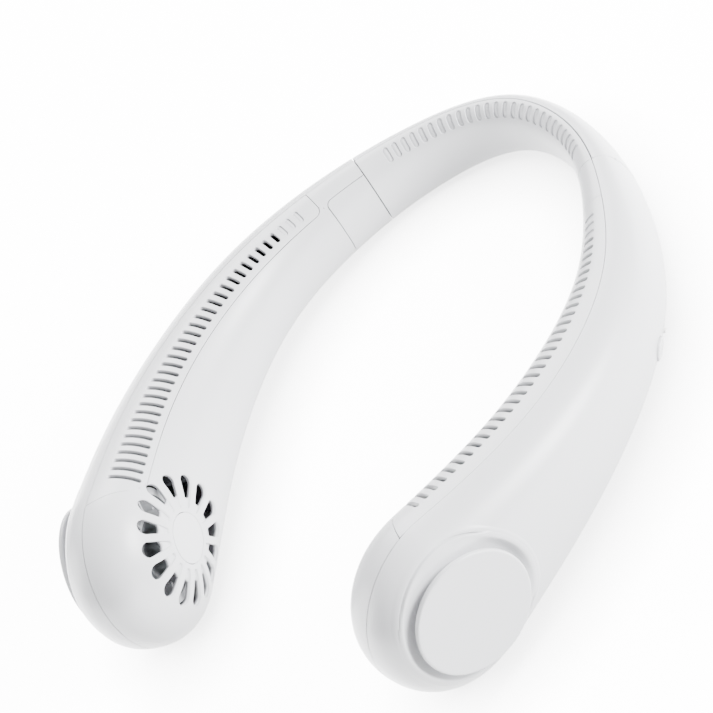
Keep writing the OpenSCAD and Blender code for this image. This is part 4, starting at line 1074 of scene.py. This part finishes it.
def finish_of(name, colour, rough, metallic=0.0, grain=0.4, relief=0.02, uneven=0.05, tint=0.03, **shader):
    """A material with grain of a size and relief in millimetres, uneven gloss and slightly uneven colour."""
    material = bpy.data.materials.new(name)
    material.use_nodes = True
    tree = material.node_tree
    tree.nodes.clear()
    place = add_node(tree, "ShaderNodeTexCoord").outputs["Object"]
    fine, broad = (
        add_node(tree, "ShaderNodeTexNoise", {"Vector": place, "Scale": 1 / (size * MM), "Detail": detail})
        .outputs["Fac"] for size, detail in ((grain, 2.0), (PATCH, 3.0)))
    gloss = add_node(tree, "ShaderNodeMapRange",
                     {"Value": broad, "To Min": rough - uneven, "To Max": rough + uneven})
    darker = tuple(c * (1 - tint) for c in colour[:3]) + (1.0,)
    shade = add_node(tree, "ShaderNodeMix", {0: broad, 6: darker, 7: colour}, data_type="RGBA")
    bump = add_node(tree, "ShaderNodeBump", {"Height": fine, "Strength": 0.4, "Distance": relief * MM})
    look = {"Base Color": shade.outputs[2], "Roughness": gloss.outputs["Result"], "Metallic": metallic,
            "Normal": bump.outputs["Normal"]}
    look.update(shader)
    surface = add_node(tree, "ShaderNodeBsdfPrincipled", look)
    add_node(tree, "ShaderNodeOutputMaterial", {"Surface": surface.outputs["BSDF"]})
    return material


# ---------------------------------------------------------------- sizes and colours to change

class NeckFanSizes(bpy.types.PropertyGroup):
    seam: FloatProperty(name="Seam", description="Width of the open line between two shells",
                        default=0.0003, min=0.0001, unit="LENGTH")
    wall: FloatProperty(name="Wall", description="Wall of the moulded shells",
                        default=0.0018, min=0.0008, unit="LENGTH")
    rim: FloatProperty(name="Rim rounding", description="Rounding of the shells' edges and slots",
                       default=0.00032, min=0.0001, unit="LENGTH")
    slot_width: FloatProperty(name="Slot width", description="Width of the air slots",
                              default=0.0017, min=0.0008, unit="LENGTH")
    blind_depth: FloatProperty(name="Blind depth", description="Depth of the blind slots and ovals",
                               default=0.0005, min=0.0002, unit="LENGTH")
    web_depth: FloatProperty(name="Web depth", description="Depth of the petals' shallow inner ends",
                             default=0.0008, min=0.0002, unit="LENGTH")


class NeckFanColours(bpy.types.PropertyGroup):
    shell: StringProperty(name="Shell", description="sRGB colour of the satin shells", default="#D6D7DA")
    trim: StringProperty(name="Trim", description="sRGB colour of hub caps and button", default="#D9DADD")
    # Dark grey as painted shade, for the shade deep behind the slots
    inside: StringProperty(name="Inside", description="sRGB colour of unseen walls", default="#36383B")
    fan: StringProperty(name="Fan", description="sRGB colour of the impellers", default="#B6B8BB")
    dark: StringProperty(name="Dark plastic", description="sRGB colour of motor bases and switches",
                         default="#202123")
    floor: StringProperty(name="Floor", description="sRGB colour of the floor", default="#FCFCFC")


def mm(name):
    """A size of the panel, in millimetres."""
    return getattr(bpy.context.scene.neck_fan_sizes, name) / MM


def colour(name):
    """A colour of the panel, or one given by its hex value, as linear light."""
    return srgb(name if name.startswith("#") else getattr(bpy.context.scene.neck_fan_colours, name))


SIDES = ("right", "left")
# Each slot's material, colour and gloss, and what else differs from a plain moulded finish
FINISHES = {
    # Spark-eroded tool texture on white plastic: a soft, broad highlight
    "shell": ("satin moulded ABS", "shell", 0.36, {"IOR": 1.52}),
    # The same white with hardly any grain: a tighter, brighter highlight
    "trim": ("polished ABS", "trim", 0.24, {"relief": 0.008, "IOR": 1.52}),
    # Dark and dull behind the slots, with a coarser grain; the dark grey is painted shade for the shade deep
    # inside the slots
    "inner_plastic": ("moulded ABS darkened as painted shade", "inside", 0.5, {"grain": 0.6, "relief": 0.04}),
    # Light grey and slightly waxy, so that the blades show through the grille
    "fan_plastic": ("grey polypropylene", "fan", 0.42, {"grain": 0.5}),
    # Near black and matt, with a slight grain
    "dark_plastic": ("black nylon", "dark", 0.5, {"grain": 0.5, "relief": 0.03}),
    # Blacker and duller than the nylon, with hardly a highlight
    "rubber_black": ("black cable rubber", "#161617", 0.6, {"grain": 0.7}),
    # Bright blue-grey metal with a patchy gloss
    "steel": ("zinc-plated steel", "#8E9092", 0.3, {"metallic": 1.0, "grain": 0.3, "uneven": 0.1}),
    # Dead charcoal with a fine, rough grain
    "magnet": ("bonded ferrite", "#2B2B2E", 0.6, {"grain": 0.25, "relief": 0.04}),
    # Dull gold with fine pores
    "brass": ("sintered bronze", "#B08A4A", 0.42, {"metallic": 1.0, "grain": 0.25, "relief": 0.03}),
    # Reddish lacquered metal that glitters in fine steps, as a winding does
    "copper": ("enamelled copper wire", "#B5622E", 0.3, {"metallic": 1.0, "grain": 0.35, "relief": 0.06}),
    # Smooth dark film with a clear highlight and long soft ripples
    "cell_wrap": ("PVC shrink film", "#26282B", 0.3, {"grain": 1.2}),
    # Deep green lacquer with an even gloss
    "board": ("green solder mask", "#1F6B3A", 0.35, {"grain": 0.5}),
    # Milky white over the light, glossier than the shell round it
    "lens": ("frosted acrylic", "#F2F2EE", 0.3, {"IOR": 1.49}),
}


def material(slot):
    """The finish of a slot, made when it is first asked for."""
    name, shade, rough, rest = FINISHES[slot]
    return bpy.data.materials.get(name) or finish_of(name, colour(shade), rough, **rest)


class FanPiece:
    """What the operators share."""
    bl_options = {"REGISTER", "UNDO"}

    def done(self, *pieces):
        """Ends an operator, which has to have made something."""
        if not pieces:
            raise RuntimeError(f"{self.bl_label} made nothing")
        return {"FINISHED"}


class NECKFAN_OT_outer_shells(FanPiece, bpy.types.Operator):
    """Outer half of each arm, with the round opening over its fan"""
    bl_idname = "neckfan.outer_shells"
    bl_label = "Outer shells"

    def execute(self, context):
        return self.done(*[
            arm_piece(side, "outer_half", thicken(outer_shell(side == "right"), pin_relief, mm("rim")),
                      "outer_shell") for side in SIDES])


class NECKFAN_OT_inner_shells(FanPiece, bpy.types.Operator):
    """Inner half of each arm, with its petal grille and the floors of the petals' inner ends"""
    bl_idname = "neckfan.inner_shells"
    bl_label = "Inner shells"

    def execute(self, context):
        bm = thicken(inner_shell(), pin_relief, mm("rim"))
        join(bm, petal_webs())
        return self.done(*[arm_piece(side, "inner_half", bm.copy(), "inner_shell") for side in SIDES])


class NECKFAN_OT_vent_strips(FanPiece, bpy.types.Operator):
    """Slotted strip along the top of each arm"""
    bl_idname = "neckfan.vent_strips"
    bl_label = "Vent strips"

    def execute(self, context):
        bm, blind = vent_strip()
        thicken(bm, mm("wall"), mm("rim"))
        join(bm, blind_floors(blind, mm("blind_depth")))
        return self.done(*[arm_piece(side, "slotted_strip", bm.copy(), "vent_strip") for side in SIDES])


class NECKFAN_OT_hinge_covers(FanPiece, bpy.types.Operator):
    """Separate cover over the hinge on the inner side of each arm"""
    bl_idname = "neckfan.hinge_covers"
    bl_label = "Hinge covers"

    def execute(self, context):
        return self.done(*[
            arm_piece(side, "hinge_lid", thicken(hinge_cover(), mm("wall"), mm("rim")), "hinge_cover")
            for side in SIDES])


class NECKFAN_OT_neck_shells(FanPiece, bpy.types.Operator):
    """Outer and inner half of the neck band, with its row of blind ovals"""
    bl_idname = "neckfan.neck_shells"
    bl_label = "Neck band"

    def execute(self, context):
        outer = thicken(neck_outer_shell(), pin_relief, mm("rim"))
        outer = finish_piece("neck_outer_half", outer, "neck", "shell", ["neck_outer_shell"])
        inner, blind = neck_inner_shell()
        thicken(inner, mm("wall"), mm("rim"))
        join(inner, blind_floors(blind, mm("blind_depth")))
        return self.done(outer, finish_piece("neck_inner_half", inner, "neck", "shell", ["neck_inner_shell"]))


class NECKFAN_OT_intakes(FanPiece, bpy.types.Operator):
    """Dished bezel and round cover over each fan's air intake"""
    bl_idname = "neckfan.intakes"
    bl_label = "Intakes"

    def execute(self, context):
        return self.done(*[
            arm_piece(side, name, make(), stands_for, on_skin=False) for side in SIDES
            for name, make, stands_for in (("intake_dish", intake_bezel, "intake_bezel"),
                                           ("intake_disc", intake_cover, "intake_cover"))])


class NECKFAN_OT_hub_discs(FanPiece, bpy.types.Operator):
    """Plain disc in the middle of each grille"""
    bl_idname = "neckfan.hub_discs"
    bl_label = "Hub discs"

    def execute(self, context):
        return self.done(*[
            arm_piece(side, "hub_disc", thicken(hub_cap(), HUB_T, HUB_RIM), "hub_cap", slot="trim")
            for side in SIDES])


class NECKFAN_OT_button(FanPiece, bpy.types.Operator):
    """Round power button with a soft edge and a shallow finger hollow"""
    bl_idname = "neckfan.button"
    bl_label = "Power button"

    def execute(self, context):
        return self.done(finish_piece("power_button_cap", button_cap(), "button", "trim",
                                      ["power_button"], on_skin=False))


class NECKFAN_OT_working_parts(FanPiece, bpy.types.Operator):
    """Finishes of the impellers, motors, batteries, hinges and controls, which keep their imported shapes"""
    bl_idname = "neckfan.working_parts"
    bl_label = "Working parts"

    def execute(self, context):
        pieces = []
        for part in frame["record"]["subparts"]:
            piece = NODES[part["node"]]
            piece.data.materials.clear()
            piece.data.materials.append(material(part["material_slot"]))
            pieces.append(piece)
        return self.done(*pieces)


# Axes and place of the photograph's camera, before the fan is laid on the table, and its lens
VIEW_RIGHT = Vector((0.7803384608562216, 0.4145347746068554, -0.46822303141792004))
VIEW_UP = Vector((-0.038473074340153235, 0.7791336362757914, 0.6256761137956918))
VIEW_BACK = Vector((0.6241728198659084, -0.4702251561383189, 0.6239363697327904))
VIEW_FROM = Vector((537.405, -523.977, 554.634))
VIEW_LENS = 132.49


class NECKFAN_OT_stage(FanPiece, bpy.types.Operator):
    """Camera, floor and soft studio light"""
    bl_idname = "neckfan.stage"
    bl_label = "Stage"

    def execute(self, context):
        scene = context.scene
        data = bpy.data.cameras.new("photograph view")
        data.sensor_width, data.lens = 36, VIEW_LENS
        data.clip_start, data.clip_end = 0.05, 20
        camera = bpy.data.objects.new("photograph view", data)
        scene.collection.objects.link(camera)
        facing = Matrix((VIEW_RIGHT, VIEW_UP, VIEW_BACK)).transposed().to_4x4()
        camera.matrix_world = ON_TABLE @ Matrix.Translation(VIEW_FROM * MM) @ facing
        scene.camera = camera

        bm = bmesh.new()
        bmesh.ops.create_grid(bm, x_segments=1, y_segments=1, size=4)
        mesh = bpy.data.meshes.new("floor")
        bm.to_mesh(mesh)
        bm.free()
        floor = bpy.data.objects.new("floor", mesh)
        scene.collection.objects.link(floor)
        # Matt paper sweep: even and nearly white, with a painted contact shadow where the fan stands close
        # over it
        paper = finish_of("matt paper sweep", colour("floor"), 0.85, grain=1.5, tint=0.0,
                          **{"Emission Color": colour("floor")})
        tree = paper.node_tree
        # Painted shadow: ambient occlusion dims the floor's glow where the fan is close by
        near = add_node(tree, "ShaderNodeAmbientOcclusion", {"Distance": 0.03}, samples=16)
        glow_with_painted_shadow = add_node(tree, "ShaderNodeMapRange", {"Value": near.outputs["AO"], "From Min": 0.3,
                                                     "From Max": 0.92, "To Min": 2.5, "To Max": 12.0})
        shader = next(n for n in tree.nodes if n.type == "BSDF_PRINCIPLED")
        tree.links.new(glow_with_painted_shadow.outputs["Result"], shader.inputs["Emission Strength"])
        mesh.materials.append(paper)
        # The floor glows for the camera alone, and doesn't light the fan
        floor.visible_diffuse = False

        world = bpy.data.worlds.new("studio")
        scene.world = world
        world.use_nodes = True
        background = world.node_tree.nodes["Background"]
        background.inputs["Color"].default_value = (1, 1, 1, 1)
        background.inputs["Strength"].default_value = 1.1
        for name, place, size, watts in (("key softbox", (1.3, 0.6, 0.6), 0.7, 95.0),
                                         ("back softbox", (-0.7, 0.9, 0.8), 0.9, 30.0),
                                         ("fill softbox", (-1.1, -0.7, 0.4), 0.8, 22.0)):
            lamp = bpy.data.lights.new(name, "AREA")
            lamp.shape, lamp.size, lamp.energy = "DISK", size, watts
            light = bpy.data.objects.new(name, lamp)
            scene.collection.objects.link(light)
            light.location = place
            light.rotation_euler = (-Vector(place)).to_track_quat("-Z", "Y").to_euler()
        return self.done(camera, floor)


PIECES = (NECKFAN_OT_working_parts, NECKFAN_OT_outer_shells, NECKFAN_OT_inner_shells,
          NECKFAN_OT_vent_strips, NECKFAN_OT_hinge_covers, NECKFAN_OT_neck_shells, NECKFAN_OT_intakes,
          NECKFAN_OT_hub_discs, NECKFAN_OT_button, NECKFAN_OT_stage)


class NECKFAN_PT_panel(bpy.types.Panel):
    """Everything that makes the neck fan"""
    bl_idname = "NECKFAN_PT_panel"
    bl_label = "Neck Fan"
    bl_space_type = "VIEW_3D"
    bl_region_type = "UI"
    bl_category = "Neck Fan"

    def draw(self, context):
        for group in (context.scene.neck_fan_sizes, context.scene.neck_fan_colours):
            box = self.layout.box()
            for key in group.__annotations__:
                box.prop(group, key)
        for piece in PIECES:
            self.layout.operator(piece.bl_idname)


CLASSES = (NeckFanSizes, NeckFanColours, *PIECES, NECKFAN_PT_panel)


def register():
    for made in CLASSES:
        bpy.utils.register_class(made)
    bpy.types.Scene.neck_fan_sizes = PointerProperty(type=NeckFanSizes)
    bpy.types.Scene.neck_fan_colours = PointerProperty(type=NeckFanColours)


def unregister():
    del bpy.types.Scene.neck_fan_colours
    del bpy.types.Scene.neck_fan_sizes
    for made in reversed(CLASSES):
        bpy.utils.unregister_class(made)


def main():
    register()
    for piece in PIECES:
        group, name = piece.bl_idname.split(".")
        getattr(getattr(bpy.ops, group), name)()


if __name__ == "__main__":
    main()
